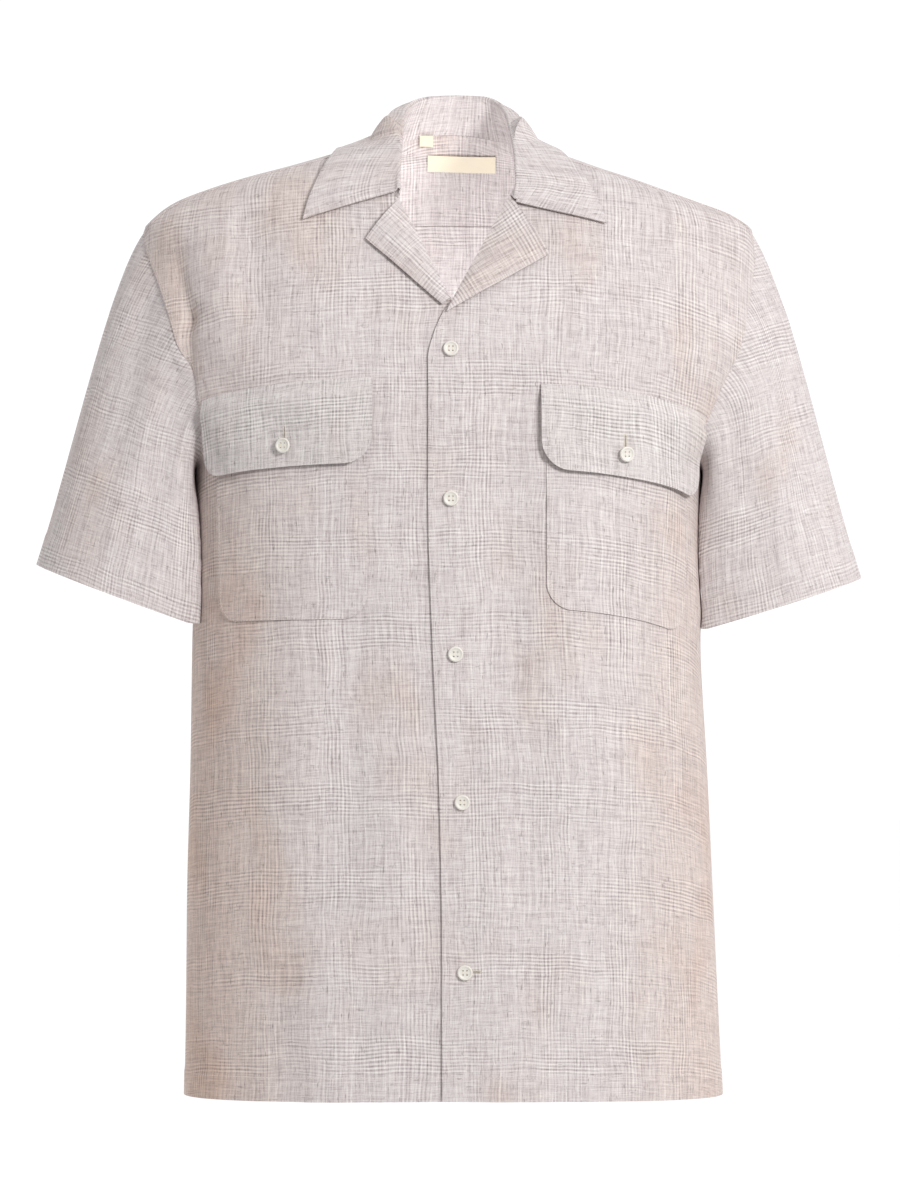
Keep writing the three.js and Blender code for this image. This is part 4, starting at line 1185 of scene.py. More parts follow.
def thread_bands(tree, place, direction, check, start, fade_scale):
    """Stripes of thread pairs inside bands that repeat, fading in and out, as a value round 0."""
    shifted = add_node(tree, "ShaderNodeVectorMath", {"operation": "ADD"}, {1: (start, start, 0)}, {0: place})
    pairs = add_node(
        tree, "ShaderNodeTexWave", {"bands_direction": direction},
        {"Scale": WAVE_STEP / PAIR_PITCH, "Distortion": 0.35, "Detail": 2, "Detail Scale": 1.2},
        {"Vector": shifted.outputs[0]},
    )
    band = add_node(
        tree, "ShaderNodeTexWave", {"bands_direction": direction},
        {"Scale": WAVE_STEP / check, "Distortion": 0.0}, {"Vector": shifted.outputs[0]},
    )
    edge = 0.5 + 0.5 * math.cos(math.pi * BAND)
    inside = spread(tree, band.outputs["Fac"], edge - 0.06, edge + 0.06, 0, 1, soft=True)
    fade = spread(tree, noise(tree, place, fade_scale, 2).outputs["Fac"], 0.32, 0.68, 0.12, 1.0)
    centred = spread(tree, pairs.outputs["Fac"], 0.0, 1.0)
    return product(tree, product(tree, centred, inside), fade)


def make_linen(name, dark, middle, light, beige_tone_and_shade, shift, sides=1.0):
    """Linen check. Colours run from the darkest thread to the palest, and shift moves the bands.

    The last colour is a beige that tints some patches at random. It also darkens and tints the shirt's sides
    and lower body as painted shade, as strongly as sides says.
    """
    material, tree, shader = new_material(name)
    flat_map = add_node(tree, "ShaderNodeUVMap", {"uv_map": "flat_cloth"})
    wander = add_node(
        tree, "ShaderNodeTexNoise", {"noise_dimensions": "2D"},
        {"Scale": 0.02, "Detail": 1}, {"Vector": flat_map.outputs[0]},
    )
    centred = add_node(
        tree, "ShaderNodeVectorMath", {"operation": "SUBTRACT"}, {1: (0.5, 0.5, 0.5)},
        {0: wander.outputs["Color"]},
    )
    moved = add_node(
        tree, "ShaderNodeVectorMath", {"operation": "MULTIPLY_ADD"}, {1: (5, 5, 0)},
        {0: centred.outputs[0], 2: flat_map.outputs[0]},
    )
    place = moved.outputs[0]
    streaks = {
        # name: scale across and up per mm, low, high, detail
        "long_up": ((0.55, 0.012), 0.3, 0.7, 3),
        "long_across": ((0.012, 0.55), 0.3, 0.7, 3),
        "short_up": ((1.1, 0.07), 0.3, 0.7, 2),
        "short_across": ((0.07, 1.1), 0.3, 0.7, 2),
        "weave": ((0.8, 0.8), 0.3, 0.7, 2),
        "slub_up": ((0.55, 0.11), 0.725, 0.79, 1),
        "slub_across": ((0.10, 0.60), 0.735, 0.80, 1),
    }
    yarn = {key: spread(tree, noise(tree, place, scale, detail).outputs["Fac"], low, high)
            for key, (scale, low, high, detail) in streaks.items()}
    upright = thread_bands(tree, place, "X", CHECK_ACROSS, shift[0], (0.03, 0.010))
    level = thread_bands(tree, place, "Y", CHECK_UP, shift[1], (0.010, 0.03))
    tone = sum_of(
        tree,
        [
            (upright, 0.17), (level, 0.19), (yarn["long_up"], 0.11), (yarn["long_across"], 0.07),
            (yarn["short_up"], 0.12), (yarn["short_across"], 0.10), (yarn["weave"], 0.05),
        ],
        0.5,
    )
    thread_colour = add_node(tree, "ShaderNodeValToRGB", None, None, {"Fac": tone.outputs[0]})
    ramp = thread_colour.color_ramp
    ramp.elements[0].position, ramp.elements[0].color = 0.08, linear(dark)
    ramp.elements[1].position, ramp.elements[1].color = 0.92, linear(light)
    ramp.elements.new(0.5).color = linear(middle)
    # Darker and beige towards both sides and lower down, by place on the shirt: painted shade where the body
    # turns away from the light.
    object_place = add_node(tree, "ShaderNodeTexCoord")
    parts = add_node(tree, "ShaderNodeSeparateXYZ", None, None, {0: object_place.outputs["Object"]})
    right_side_shade = spread(tree, parts.outputs["X"], -0.08, -0.205, 0, 1, soft=True)
    left_side_shade = spread(tree, parts.outputs["X"], 0.10, 0.22, 0, 0.75, soft=True)
    lower_body_shade = spread(tree, parts.outputs["Z"], -0.10, -0.40, 0.25, 1, soft=True)
    side_shade_both = add_node(
        tree, "ShaderNodeMath", {"operation": "ADD"}, None,
        {0: right_side_shade.outputs[0], 1: left_side_shade.outputs[0]},
    )
    painted_side_shade = product(tree, side_shade_both, lower_body_shade)
    patches = spread(tree, noise(tree, place, (0.012, 0.007), 2).outputs["Fac"], 0.52, 0.72, 0, 1)
    tone_and_shade_share = sum_of(tree, [(painted_side_shade, 0.75 * sides), (patches, 0.35)], 0)
    toned_and_shaded = add_node(
        tree, "ShaderNodeMix", {"data_type": "RGBA", "blend_type": "MULTIPLY"}, {"B": linear(beige_tone_and_shade)},
        {"Factor": tone_and_shade_share.outputs[0], "A": thread_colour.outputs["Color"]},
    )
    cloth_colour = toned_and_shaded.outputs["Result"]
    for slub, strength in ((yarn["slub_up"], 0.42), (yarn["slub_across"], 0.34)):
        share = spread(tree, slub.outputs[0], -1, 1, 0, strength)
        mixed = add_node(
            tree, "ShaderNodeMix", {"data_type": "RGBA"}, {"B": linear("#5f5550")},
            {"Factor": share.outputs[0], "A": cloth_colour},
        )
        cloth_colour = mixed.outputs["Result"]
    tree.links.new(cloth_colour, shader.inputs["Base Color"])
    relief = sum_of(
        tree,
        [
            (yarn["short_up"], 0.5), (yarn["short_across"], 0.5), (yarn["long_up"], 0.4),
            (level, 0.3), (upright, 0.3),
        ],
        0,
    )
    bump = add_node(
        tree, "ShaderNodeBump", None, {"Strength": 0.35, "Distance": 0.12 * MM}, {"Height": relief.outputs[0]}
    )
    tree.links.new(bump.outputs[0], shader.inputs["Normal"])
    shader.inputs["Roughness"].default_value = 0.88
    shader.inputs["Specular IOR Level"].default_value = 0.25
    shader.inputs["Sheen Weight"].default_value = 0.12
    shader.inputs["Sheen Roughness"].default_value = 0.6
    return material


# The beige tints random patches of the cloth. On the body it is also painted shade down the sides and lower
# part.
SHIRT_THREADS = {"dark": "#9c9090", "middle": "#d4cbca", "light": "#f4eeea", "beige_tone_and_shade": "#f2dfd1"}
FLAP_THREADS = {"dark": "#918b89", "middle": "#d3cbc9", "light": "#f4efec", "beige_tone_and_shade": "#f2dfd1"}
linen = make_linen("linen_glen_check", **SHIRT_THREADS, shift=(9.0, 14.0))
sleeve_linen = make_linen("linen_sleeves", **SHIRT_THREADS, shift=(20.0, 30.0), sides=0.0)
flap_linen = make_linen("linen_flaps", **FLAP_THREADS, shift=(16.0, 34.0), sides=0.0)
print("linen nodes:", len(linen.node_tree.nodes))

# %% [markdown]
# ## Sewing thread
# Seams on this shirt are topstitched in thread of the cloth's own colour, a stitch every 2.6 mm. Modelling
# each stitch by hand would be endless, so a Geometry Nodes tree resamples a path at the stitch length and
# puts one small capsule on each point, turned along the path. The paths are lines at a set distance from a
# piece's edge, taken from the same grid of points as the cloth.

# %% Stitch paths
STITCH = {"Pitch": 2.6, "Length": 1.9, "Radius": 0.2}
PAIRED_SEAMS = [
    # piece on each side, edge, how far in from it, how much is left out at its start and at its end
    ("front", "first_row", HEM_TURN - 2, 0, 0),
    ("front", "last_column", 3, 490, 2),
    ("sleeve", "last_row", SLEEVE_HEM_TURN - 2, 0, 0),
    ("pocket", "last_row", 2.5, 1, 1),
    ("pocket_flap", "first_row", 6, 2, 2),
    ("pocket_flap", "last_row", 5, 0, 0),
    ("pocket", "first_column", 2.5, 0, 12),
    ("pocket_flap", "first_column", 5, 3, 14),
    ("pocket", "last_column", 2.5, 0, 12),
    ("pocket_flap", "last_column", 5, 3, 14),
    ("front_facing", "last_column", 4, 4, 4),
    ("front_facing", "first_row", 4, 3, 4),
]
SINGLE_SEAMS = [
    # the same, for pieces that the shirt has one of
    ("front_left", "first_column", 5, 20, 130),
    ("back", "first_row", HEM_TURN - 2, 0, 0),
    ("yoke", "last_column", 3, 3, 3),
    ("collar", "last_column", 4, 4, 4),
    ("collar", "first_row", 4, 70, 4),
    ("collar", "last_row", 4, 70, 4),
]


def skin_point(name, rows, columns, out=0.0):
    """Points on a shell's outer skin at fractional rows and columns of its grid."""
    grid, normals, thickness = surfaces[name]
    skin = grid + normals * (thickness / 2 + out)
    rows = np.clip(rows, 0, grid.shape[0] - 1.001)
    columns = np.clip(columns, 0, grid.shape[1] - 1.001)
    i, j = rows.astype(int), columns.astype(int)
    u, v = (rows - i)[:, None], (columns - j)[:, None]
    near = lerp(skin[i, j], skin[i, j + 1], v)
    far = lerp(skin[i + 1, j], skin[i + 1, j + 1], v)
    return lerp(near, far, u)


def edge_line(name, edge, inset, skip_start, skip_end):
    """A line on a piece at one distance from an edge, leaving out some millimetres at its two ends."""
    grid = surfaces[name][0]
    by_row = edge.endswith("column")
    distance = seam_distance(grid, edge)
    distance = distance if by_row else distance.T
    steps = np.arange(distance.shape[1], dtype=float)
    rising = distance[0, -1] > distance[0, 0]
    inner = [np.interp(inset, d if rising else d[::-1], steps if rising else steps[::-1]) for d in distance]
    outer = np.arange(len(inner), dtype=float)
    line = skin_point(name, outer, np.array(inner)) if by_row else skin_point(name, np.array(inner), outer)
    gone = np.concatenate([[0], np.cumsum(np.linalg.norm(np.diff(line, axis=0), axis=-1))])
    kept = (gone >= skip_start) & (gone <= gone[-1] - skip_end)
    return line[kept]


seams = [(f"{piece}_{word}", *measures) for word in SIDES for piece, *measures in PAIRED_SEAMS]
stitch_lines = [edge_line(*seam) for seam in seams + SINGLE_SEAMS]
sewn = sum(float(run_across(line[None])[0, -1]) for line in stitch_lines)
print(f"sewn lines: {len(stitch_lines)}, {sewn / 1000:.1f} m of stitching")

# %% [markdown]
# ## The stitches themselves
# A lockstitch shows as a row of short, round-ended bars that sink a little into the cloth at each end.
# The same bar is needed thousands of times, so one tree sets it at even steps along every sewn line and
# turns it to the line. Each bar has only a few dozen faces. The finished rows are then made a plain mesh.

# %% Stitches by Geometry Nodes
def thread_material(name, colour):
    """Spun polyester sewing thread: a twisted matt yarn, a little paler than the cloth. Given a dark colour,
    the same matt finish also paints the shade in the buttonhole slits.
    """
    material, _, shader = new_material(name)
    shader.inputs["Base Color"].default_value = linear(colour)
    shader.inputs["Roughness"].default_value = 0.7
    shader.inputs["Specular IOR Level"].default_value = 0.3
    return material


def start_tree(name, sizes):
    """A tree that takes paths and named sizes, and turns the paths into curves."""
    tree = bpy.data.node_groups.new(name, "GeometryNodeTree")
    tree.interface.new_socket("Geometry", in_out="INPUT", socket_type="NodeSocketGeometry")
    for size_name in sizes:
        tree.interface.new_socket(size_name, in_out="INPUT", socket_type="NodeSocketFloat")
    tree.interface.new_socket("Geometry", in_out="OUTPUT", socket_type="NodeSocketGeometry")
    given = add_node(tree, "NodeGroupInput")
    curve = add_node(tree, "GeometryNodeMeshToCurve", None, None, {"Mesh": given.outputs["Geometry"]})
    return tree, given.outputs, curve.outputs[0]


def end_tree(tree, geometry, material):
    """Makes the instances real, gives them their material and ends the tree."""
    real = add_node(tree, "GeometryNodeRealizeInstances", None, None, {"Geometry": geometry})
    painted = add_node(
        tree, "GeometryNodeSetMaterial", None, {"Material": material}, {"Geometry": real.outputs[0]}
    )
    add_node(tree, "NodeGroupOutput", None, None, {"Geometry": painted.outputs[0]})
    return tree


def stitch_tree(material):
    """Resamples each path at the stitch's pitch and puts a capsule on every point."""
    tree, given, curve = start_tree("stitches_along_paths", ["Pitch", "Length", "Radius"])
    even = add_node(
        tree, "GeometryNodeResampleCurve", {"mode": "LENGTH"}, None,
        {"Curve": curve, "Length": given["Pitch"]},
    )
    way = add_node(tree, "GeometryNodeInputTangent")
    turn = add_node(
        tree, "FunctionNodeAlignRotationToVector", {"axis": "Z"}, None, {"Vector": way.outputs[0]}
    )
    capsule = add_node(
        tree, "GeometryNodeMeshUVSphere", None, {"Segments": 6, "Rings": 4}, {"Radius": given["Radius"]}
    )
    long_ratio = add_node(
        tree, "ShaderNodeMath", {"operation": "DIVIDE"}, None, {0: given["Length"], 1: given["Radius"]}
    )
    half_ratio = add_node(
        tree, "ShaderNodeMath", {"operation": "MULTIPLY"}, {1: 0.5}, {0: long_ratio.outputs[0]}
    )
    stretch = add_node(tree, "ShaderNodeCombineXYZ", None, {"X": 1, "Y": 1}, {"Z": half_ratio.outputs[0]})
    placed = add_node(
        tree, "GeometryNodeInstanceOnPoints", None, None,
        {
            "Points": even.outputs[0], "Instance": capsule.outputs["Mesh"],
            "Rotation": turn.outputs[0], "Scale": stretch.outputs[0],
        },
    )
    return end_tree(tree, placed.outputs[0], material)


def path_mesh(name, lines):
    """Loose edges along each line, for a tree to work on."""
    mesh = bpy.data.meshes.new(name)
    points, edges = [], []
    for line in lines:
        first = len(points)
        points += (np.asarray(line) * MM).tolist()
        edges += [(first + i, first + i + 1) for i in range(len(line) - 1)]
    mesh.from_pydata(points, edges, [])
    path = bpy.data.objects.new(name, mesh)
    bpy.context.scene.collection.objects.link(path)
    return path


def grow(name, lines, tree, sizes):
    """Runs a tree over paths with its named inputs in millimetres, and keeps the result as a plain mesh."""
    path = path_mesh(name, lines)
    modifier = path.modifiers.new("grow", "NODES")
    modifier.node_group = tree
    inputs = [item for item in tree.interface.items_tree if item.in_out == "INPUT"]
    identifiers = {item.name: item.identifier for item in inputs}
    for size_name, value in sizes.items():
        modifier[identifiers[size_name]] = value * MM
    bpy.context.view_layer.update()
    evaluated = path.evaluated_get(bpy.context.evaluated_depsgraph_get())
    mesh = bpy.data.meshes.new_from_object(evaluated)
    path.modifiers.remove(modifier)
    path.data = mesh
    mesh.name = name
    mesh.shade_smooth()
    print(name, "faces", len(mesh.polygons))
    return path


shirt_thread = thread_material("thread_shirt", "#e4dbd6")
stitches = grow("topstitching", stitch_lines, stitch_tree(shirt_thread), STITCH)

# %% [markdown]
# ## Buttons
# The buttons are four-hole shirt buttons of cast resin, 11.6 mm across, with a raised rim and a shallow
# dish. A lathe profile, spun here by a loop, gives the form, and a Boolean cuts the holes. Each sits where
# the solid's button sits, facing as the cloth does, and thread runs twice between the holes of each pair.

# %% Buttons and their thread
BUTTON = {"radius": 5.8, "thick": 2.4, "hole": 0.62, "hole_spacing": 2.1}
BUTTON_PROFILE = [
    # radius, height
    (0, 0), (4.6, 0), (5.35, 0.25), (5.75, 0.8), (5.8, 1.4), (5.6, 2.05), (5.2, 2.36), (4.75, 2.4),
    (4.35, 2.25), (4.0, 1.9), (3.5, 1.72), (2.6, 1.66), (0, 1.66),
]
FRONT_BUTTON_HEIGHTS = [-152, -264, -380.5, -491.5, -619]
POCKET_BUTTON = {-1: {"along": 66.5, "down": 47.5}, 1: {"along": 63, "down": 46.5}}
BUTTON_STAND = {"front": 0.9, "flap": 1.4}  # over the front's cloth, and over the flap's more than that
BUTTON_THREAD = {"radius": 0.15, "apart": 0.32, "arch": 0.36, "sunk": 0.35}
BUTTON_TURNS = 48


def spin_mesh(name, profile, turns):
    """A closed turned form round +Z from a profile that starts and ends on the axis."""
    ring = profile[1:-1]
    angles = 2 * math.pi * np.arange(turns) / turns
    points = [(r * math.cos(a) * MM, r * math.sin(a) * MM, h * MM) for r, h in ring for a in angles]
    points += [(0, 0, profile[0][1] * MM), (0, 0, profile[-1][1] * MM)]
    bottom, top = len(points) - 2, len(points) - 1
    faces = []
    for i in range(len(ring) - 1):
        for j in range(turns):
            k = (j + 1) % turns
            faces.append((i * turns + j, i * turns + k, (i + 1) * turns + k, (i + 1) * turns + j))
    last = (len(ring) - 1) * turns
    faces += [(bottom, (j + 1) % turns, j) for j in range(turns)]
    faces += [(top, last + j, last + (j + 1) % turns) for j in range(turns)]
    mesh = bpy.data.meshes.new(name)
    mesh.from_pydata(points, [], faces)
    return mesh


def button_holes():
    """Where the four holes are, in the button's own plane."""
    spacing = BUTTON["hole_spacing"]
    return [(spacing * math.cos(a), spacing * math.sin(a)) for a in np.radians([45, 135, 225, 315])]


def drilled_button():
    """One button mesh with its four holes cut."""
    blank = bpy.data.objects.new("button_blank", spin_mesh("button_blank", BUTTON_PROFILE, BUTTON_TURNS))
    bpy.context.scene.collection.objects.link(blank)
    drills = []
    for x, y in button_holes():
        bpy.ops.mesh.primitive_cylinder_add(
            vertices=12, radius=BUTTON["hole"] * MM, depth=3 * BUTTON["thick"] * MM,
            location=(x * MM, y * MM, 0),
        )
        drill = bpy.context.object
        drills.append(drill)
        cut = blank.modifiers.new("drill", "BOOLEAN")
        cut.operation, cut.object, cut.solver = "DIFFERENCE", drill, "EXACT"
    bpy.context.view_layer.update()
    mesh = bpy.data.meshes.new_from_object(blank.evaluated_get(bpy.context.evaluated_depsgraph_get()))
    for spent in (blank, *drills):
        bpy.data.objects.remove(spent)
    mesh.shade_smooth()
    mesh.set_sharp_from_angle(angle=math.radians(55))
    return mesh


def front_facing_way(on_torso):
    """The way the cloth faces under a button, large folds included."""
    reach = BUTTON["radius"]
    near = [on_slice("front", on_torso[0] + dx, on_torso[2] + dz) for dx, dz in
            ((reach, 0), (-reach, 0), (0, reach), (0, -reach))]
    right, left, above, below = (cloth_point(point) for point in near)
    return unit(np.cross(right - left, above - below))


def seat(mesh, name, origin, way):
    """A copy of a mesh with its +Z turned to a way and its origin placed, written into its vertices."""
    placed = mesh.copy()
    placed.name = name
    turn = Vector(way).to_track_quat("Z", "Y").to_matrix().to_4x4()
    turn.translation = Vector(np.asarray(origin) * MM)
    placed.transform(turn)
    seated = bpy.data.objects.new(name, placed)
    bpy.context.scene.collection.objects.link(seated)
    made[name] = seated
    return turn


def thread_runs(turn):
    """Two parallel runs of button thread, each looped through a pair of holes."""
    holes = button_holes()
    runs = []
    top = BUTTON_PROFILE[-1][1]
    for first, second in ((0, 3), (1, 2)):
        (x0, y0), (x1, y1) = holes[first], holes[second]
        for shift in (-BUTTON_THREAD["apart"] / 2, BUTTON_THREAD["apart"] / 2):
            arc = []
            for t in np.linspace(0, 1, 7):
                height = top + BUTTON_THREAD["arch"] * math.sin(math.pi * t) ** 0.5 - BUTTON_THREAD["sunk"]
                place = Vector((lerp(x0, x1, t) + shift, lerp(y0, y1, t), height))
                arc.append(turn @ (place * MM) / MM)
            runs.append(np.array(arc))
    return runs


def cast_resin(name, colour):
    """Cast polyester resin: hard and nearly white, tumbled to a soft polish."""
    material, _, shader = new_material(name)
    shader.inputs["Base Color"].default_value = linear(colour)
    shader.inputs["Roughness"].default_value = 0.38
    shader.inputs["IOR"].default_value = 1.52
    return material


button_mesh = drilled_button()
button_thread_lines = []
button_places = []
for i, z in enumerate(FRONT_BUTTON_HEIGHTS):
    base = on_slice("front", float(centre_line["x"](z)), z)
    button_places.append((f"front_button_{i + 1}", base, LAYER_LIFT))
for word, side in SIDES.items():
    place, _ = on_chest(side, POCKET_BUTTON[side]["along"], POCKET_BUTTON[side]["down"])
    button_places.append((f"pocket_button_{word}", place, FLAP["lift"] + BUTTON_STAND["flap"]))
BUTTON_PIECES = []
for name, base, out in button_places:
    way = front_facing_way(base)
    origin = cloth_point(base, out + BUTTON_STAND["front"])
    button_thread_lines += thread_runs(seat(button_mesh, name, origin, way))
    BUTTON_PIECES.append(name)
print("buttons:", len(BUTTON_PIECES), "faces each:", len(button_mesh.polygons))


def tube_tree(material):
    """Turns paths into round thread."""
    tree, given, curve = start_tree("thread_along_paths", ["Radius"])
    circle = add_node(
        tree, "GeometryNodeCurvePrimitiveCircle", None, {"Resolution": 6}, {"Radius": given["Radius"]}
    )
    tube = add_node(
        tree, "GeometryNodeCurveToMesh", None, {"Fill Caps": True},
        {"Curve": curve, "Profile Curve": circle.outputs[0]},
    )
    return end_tree(tree, tube.outputs[0], material)


cream_thread = thread_material("thread_buttons", "#efe6d2")
thread_tree = tube_tree(cream_thread)
button_threads = grow("button_threads", button_thread_lines, thread_tree, {"Radius": BUTTON_THREAD["radius"]})

# %% [markdown]
# ## Buttonholes
# A buttonhole is a slit in the cloth, closed in by a dense row of thread. One shows beside the lowest
# front button, lying level, and an upright one above each pocket button. The thread is one zigzag run
# round the slit, which the same tree turns into yarn. Down the slit's middle a thin dark line is painted
# shade, for the gap that light doesn't reach.

# %% Buttonholes
BUTTONHOLE = {"bar": 1.15, "inner": 0.35, "pitch": 0.42, "thread": 0.2, "lift": 0.15}
BUTTONHOLE_LENGTH = {"front": 13, "flap": 14}
SLIT = {"inset": 1.6, "radius": 0.22, "points": 8}
LOW_HOLE_SHIFT = [6.5, 0, 0.5]  # from the lowest front button to the middle of its buttonhole
FLAP_HOLE_RISE = 8.2  # from a pocket button up to the middle of its buttonhole


def zigzag_round(length, bar, pitch):
    """A run of thread that winds between the inside and the outside of a slit's edge."""
    straight = length - 2 * bar
    half_round = math.pi * bar
    total = 2 * (straight + half_round)
    count = 2 * int(total / pitch / 2)
    run = []
    for i in range(count + 1):
        s = total * i / count
        reach = bar if i % 2 else BUTTONHOLE["inner"] * bar
        if s < straight:
            run.append((s - straight / 2, reach))
        elif s < straight + half_round:
            a = math.pi / 2 - (s - straight) / bar
            run.append((straight / 2 + reach * math.cos(a), reach * math.sin(a)))
        elif s < 2 * straight + half_round:
            run.append((straight / 2 - (s - straight - half_round), -reach))
        else:
            a = -math.pi / 2 - (s - 2 * straight - half_round) / bar
            run.append((-straight / 2 + reach * math.cos(a), reach * math.sin(a)))
    return run


def lay_on_front(run, base, out, upright):
    """Lays a flat run on the front cloth round a base point, across it or upright."""
    line = []
    for along, across in run:
        dx, dz = (across, along) if upright else (along, across)
        line.append(cloth_point(on_slice("front", base[0] + dx, base[2] + dz), out, 1))
    return np.array(line)


buttonhole_lines = []
slit_lines = []
low_button = button_places[len(FRONT_BUTTON_HEIGHTS) - 1][1]
front_out = LAYER_LIFT + CLOTH / 2 + BUTTONHOLE["lift"]
holes = [(low_button + np.array(LOW_HOLE_SHIFT), front_out, BUTTONHOLE_LENGTH["front"], False)]
for word, side in SIDES.items():
    along, down = POCKET_BUTTON[side]["along"], POCKET_BUTTON[side]["down"] - FLAP_HOLE_RISE
    place, _ = on_chest(side, along, down)
    flap_out = float(flap_lift(down, along, POCKETS[side]["width"])) + DOUBLE_CLOTH / 2 + BUTTONHOLE["lift"]
    holes.append((place, flap_out, BUTTONHOLE_LENGTH["flap"], True))
for place, out, length, upright in holes:
    run = zigzag_round(length, BUTTONHOLE["bar"], BUTTONHOLE["pitch"])
    buttonhole_lines.append(lay_on_front(run, place, out, upright))
    slit_end = length / 2 - SLIT["inset"]
    slit = [(along, 0) for along in np.linspace(-slit_end, slit_end, SLIT["points"])]
    slit_lines.append(lay_on_front(slit, place, out, upright))
buttonholes = grow("buttonholes", buttonhole_lines, thread_tree, {"Radius": BUTTONHOLE["thread"]})
# The slit's dark line is painted shade, not thread: the gap in the buttonhole that light doesn't reach.
slit_shade_paint = thread_material("buttonhole_slit_shadow", "#8f837b")
slit_shade_tubes = grow("buttonhole_slit_shade", slit_lines, tube_tree(slit_shade_paint), {"Radius": SLIT["radius"]})
print("buttonholes:", len(holes))

# %% [markdown]
# ## Neck label and size tab
# Inside the yoke there is a woven label, sewn at its ends, and a small folded tab in the collar seam. On
# this part both are bare. Each is a thin strip that follows the yoke's inside, with its own fine rib.

# %% Label and tab
LABEL_CELLS = {"across": 24, "down": 8}
TAPE_RIB = 0.8  # from one rib of the woven tape to the next
LABELS = {
    "neck_label": {
        "from_x": -17, "to_x": 37, "top": 9.5, "foot": -2.5, "tilt": -1.5, "wall": 0.4, "clear": 0.9,
    },
    "size_tab": {
        "from_x": -24, "to_x": -13, "top": 24.5, "foot": 16.3, "tilt": 0, "wall": 0.7, "clear": 1.7,
    },
}


def make_label(name):
    size = LABELS[name]
    across = np.linspace(0, 1, LABEL_CELLS["across"] + 1)[None]
    down = np.linspace(0, 1, LABEL_CELLS["down"] + 1)[:, None]
    x = lerp(size["from_x"], size["to_x"], across) + 0 * down
    z = lerp(size["top"], size["foot"], down) + size["tilt"] * across
    base = on_slice("back", x, z)
    inward = -(CLOTH / 2 + size["clear"] + size["wall"] / 2)
    flat = np.stack([x, z], axis=-1)
    return cloth_shell(name, cloth_point(base, inward), flat, torso_normal(base), size["wall"])


def woven_tape(name, colour):
    """Polyester label tape: a tight satin with a fine rib across, a soft gleam and no print."""
    material, tree, shader = new_material(name)
    flat_map = add_node(tree, "ShaderNodeUVMap", {"uv_map": "flat_cloth"})
    rib = add_node(
        tree, "ShaderNodeTexWave", {"bands_direction": "Y"},
        {"Scale": WAVE_STEP / TAPE_RIB, "Distortion": 0.3}, {"Vector": flat_map.outputs[0]},
    )
    shade = add_node(
        tree, "ShaderNodeMix", {"data_type": "RGBA"}, {"A": linear(colour), "B": linear("#f6edd9")},
        {"Factor": rib.outputs["Fac"]},
    )
    tree.links.new(shade.outputs["Result"], shader.inputs["Base Color"])
    shader.inputs["Roughness"].default_value = 0.6
    return material


tape = woven_tape("woven_label_tape", "#eadcc0")
for name in LABELS:
    make_label(name)

# %% [markdown]
# ## Hand each piece to the frame
# Each dressed piece rides on the shirt's only body and stands for its own solid. The sewing rides along,
# and stands for no solid.

# %% Ride and replace
button_resin = cast_resin("cast_resin_button", "#e6e1d9")
finishes = {name: (linen, "linen") for name in made}
finishes.update({f"sleeve_{word}": (sleeve_linen, "linen") for word in SIDES})
finishes.update({f"pocket_flap_{word}": (flap_linen, "linen") for word in SIDES})
finishes.update({name: (button_resin, "button") for name in BUTTON_PIECES})
finishes.update({name: (tape, "label_cloth") for name in LABELS})
for name, (material, slot) in finishes.items():
    piece = made[name]
    piece.data.materials.append(material)
    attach(piece, "root")
    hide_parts(name)
sewn_on = [(stitches, "linen"), (button_threads, "button"), (buttonholes, "linen"), (slit_shade_tubes, "linen")]
for piece, slot in sewn_on:
    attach(piece, "root")

# %% [markdown]
# ## State the cut
# Every cloth piece was cut flat before it was sewn. Its flat size is measured on its own map of the flat
# cloth, all round on the sleeves, and its area on the cloth itself, because no piece is a plain rectangle.

# %% State the cut
HELD_BY = {
    "front": ("hung", ["yoke"]), "back": ("hung", ["yoke"]), "yoke": ("hung", []),
    "sleeve": ("hung", ["yoke"]), "collar": ("folded", ["yoke"]), "front_facing": ("folded", ["front"]),
    "pocket": ("laid", ["front"]), "pocket_flap": ("laid", ["front"]),
    "neck_label": ("laid", ["yoke"]), "size_tab": ("laid", ["yoke"]),
}
for name, (width, length, area) in cuts.items():
    word = name.rsplit("_", 1)[-1]
    sided = word in SIDES
    held, holders = HELD_BY[name.removesuffix(f"_{word}") if sided else name]
    holders = [f"front_{word}" if holder == "front" else holder for holder in holders]
    share = area / (width * length)
    print(f"{name}: cut {width:.0f} x {length:.0f} mm, {area / 100:.0f} cm2, {share:.2f} of its rectangle")

# %% [markdown]
# ## Camera, floor and light
# The photograph was taken level with the shirt's middle from about four metres. Soft light comes from the
# front, a little from the viewer's right, over a white ground.

# %% Camera, floor and light
CAMERA_DISTANCE = 4.2
VIEW_HEIGHT = 0.924  # metres of the shirt's plane in the picture's height
CAMERA_PLACE = (0.0008, -CAMERA_DISTANCE, -0.34)
SENSOR_HEIGHT = 24
camera_data = bpy.data.cameras.new("camera")
camera_data.sensor_fit = "VERTICAL"
camera_data.sensor_height = SENSOR_HEIGHT
camera_data.lens = SENSOR_HEIGHT * CAMERA_DISTANCE / VIEW_HEIGHT
camera_data.clip_end = 60
camera = bpy.data.objects.new("camera", camera_data)
camera.location = CAMERA_PLACE
camera.rotation_euler = (math.pi / 2, 0, 0)
bpy.context.scene.collection.objects.link(camera)
bpy.context.scene.camera = camera

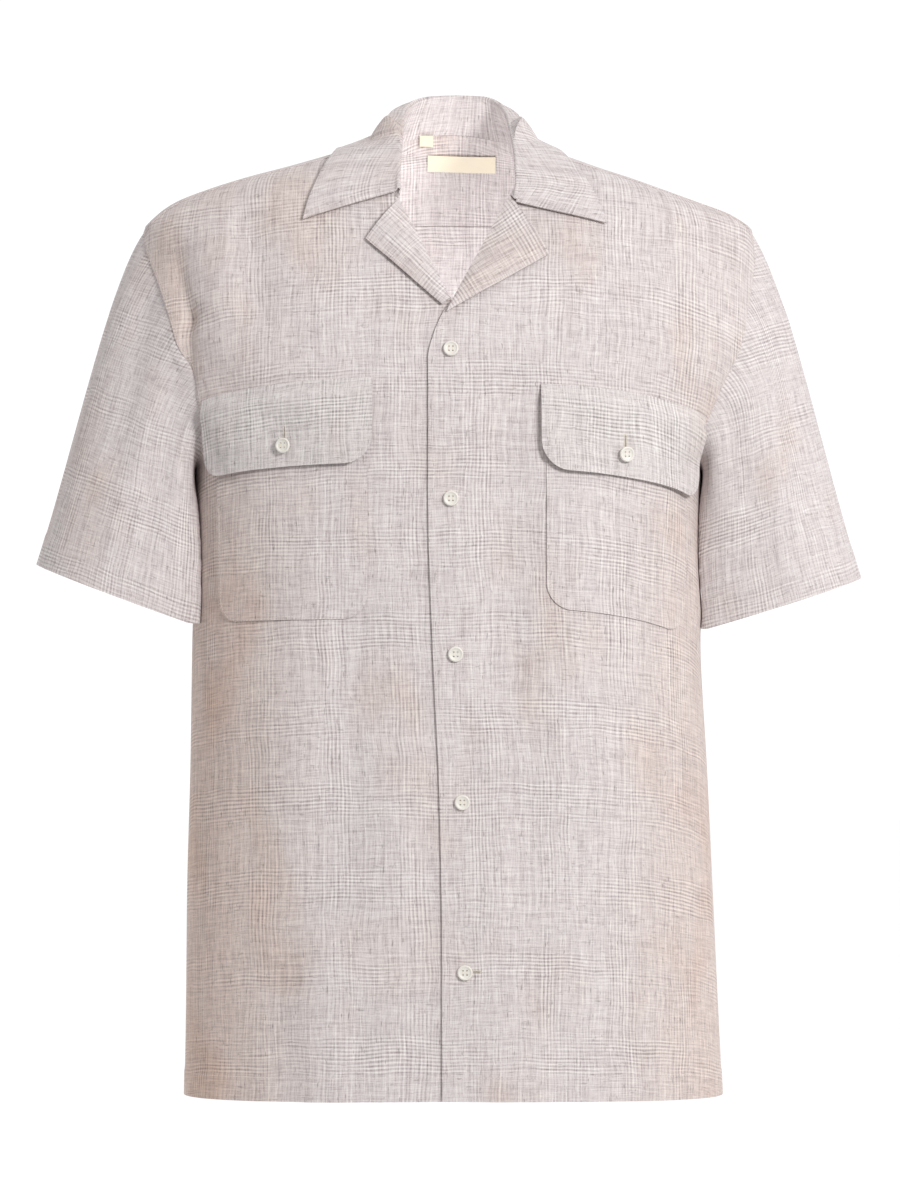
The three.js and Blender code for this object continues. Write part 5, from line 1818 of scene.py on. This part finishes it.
SHIRT_MIDDLE = (0, 0, -0.35)
FLOOR_HEIGHT = -1.30
FLOOR_CORNERS = [(-14, -0.4), (14, -0.4), (14, 20), (-14, 20)]
floor_mesh = bpy.data.meshes.new("floor")
floor_mesh.from_pydata([(x, y, FLOOR_HEIGHT) for x, y in FLOOR_CORNERS], [], [(0, 1, 2, 3)])
floor = bpy.data.objects.new("floor", floor_mesh)
bpy.context.scene.collection.objects.link(floor)
floor_paint, _, floor_shader = new_material("white_ground")
floor_shader.inputs["Base Color"].default_value = (0.96, 0.96, 0.96, 1)
floor_shader.inputs["Roughness"].default_value = 1.0
floor_shader.inputs["Specular IOR Level"].default_value = 0.0
floor_shader.inputs["Emission Color"].default_value = (1, 1, 1, 1)
floor_shader.inputs["Emission Strength"].default_value = 0.3
floor_mesh.materials.append(floor_paint)


def add_area_light(name, place, size, power):
    """A soft box that faces the middle of the shirt."""
    light = bpy.data.lights.new(name, "AREA")
    light.shape, light.size, light.energy = "SQUARE", size, power
    lamp = bpy.data.objects.new(name, light)
    lamp.location = place
    lamp.rotation_euler = (Vector(SHIRT_MIDDLE) - Vector(place)).to_track_quat("-Z", "Y").to_euler()
    bpy.context.scene.collection.objects.link(lamp)


def white_room(front_low, front_high, back):
    """A white room, dimmer in front of the shirt than on the wall behind it, and dimmest low in front."""
    room = bpy.data.worlds.new("white_room")
    room.use_nodes = True
    tree = room.node_tree
    way = add_node(tree, "ShaderNodeTexCoord")
    parts = add_node(tree, "ShaderNodeSeparateXYZ", None, None, {0: way.outputs["Generated"]})
    front = spread(tree, parts.outputs["Z"], -0.4, 0.5, front_low, front_high, soft=True)
    strength = add_node(
        tree, "ShaderNodeMapRange", {"interpolation_type": "SMOOTHSTEP"},
        {"From Min": 0.1, "From Max": 0.7, "To Max": back},
        {"Value": parts.outputs["Y"], "To Min": front.outputs[0]},
    )
    tree.links.new(strength.outputs[0], tree.nodes["Background"].inputs["Strength"])
    tree.nodes["Background"].inputs["Color"].default_value = (1, 1, 1, 1)
    return room


def add_inner_glow(place, radius, power):
    """Stands in for the light that thin linen lets through, so that the inside isn't a dark hollow."""
    light = bpy.data.lights.new("light_through_the_cloth", "POINT")
    light.shadow_soft_size, light.energy, light.color = radius, power, (0.94, 1.0, 1.03)
    lamp = bpy.data.objects.new("light_through_the_cloth", light)
    lamp.location = place
    lamp.visible_camera = False
    bpy.context.scene.collection.objects.link(lamp)


add_area_light("key_from_the_right", (1.6, -2.7, 0.75), 0.7, 66)
add_inner_glow((0, -0.01, -0.17), 0.05, 0.78)
world = white_room(front_low=0.42, front_high=0.66, back=1.08)
bpy.context.scene.world = world
bpy.context.scene.view_settings.view_transform = "Standard"
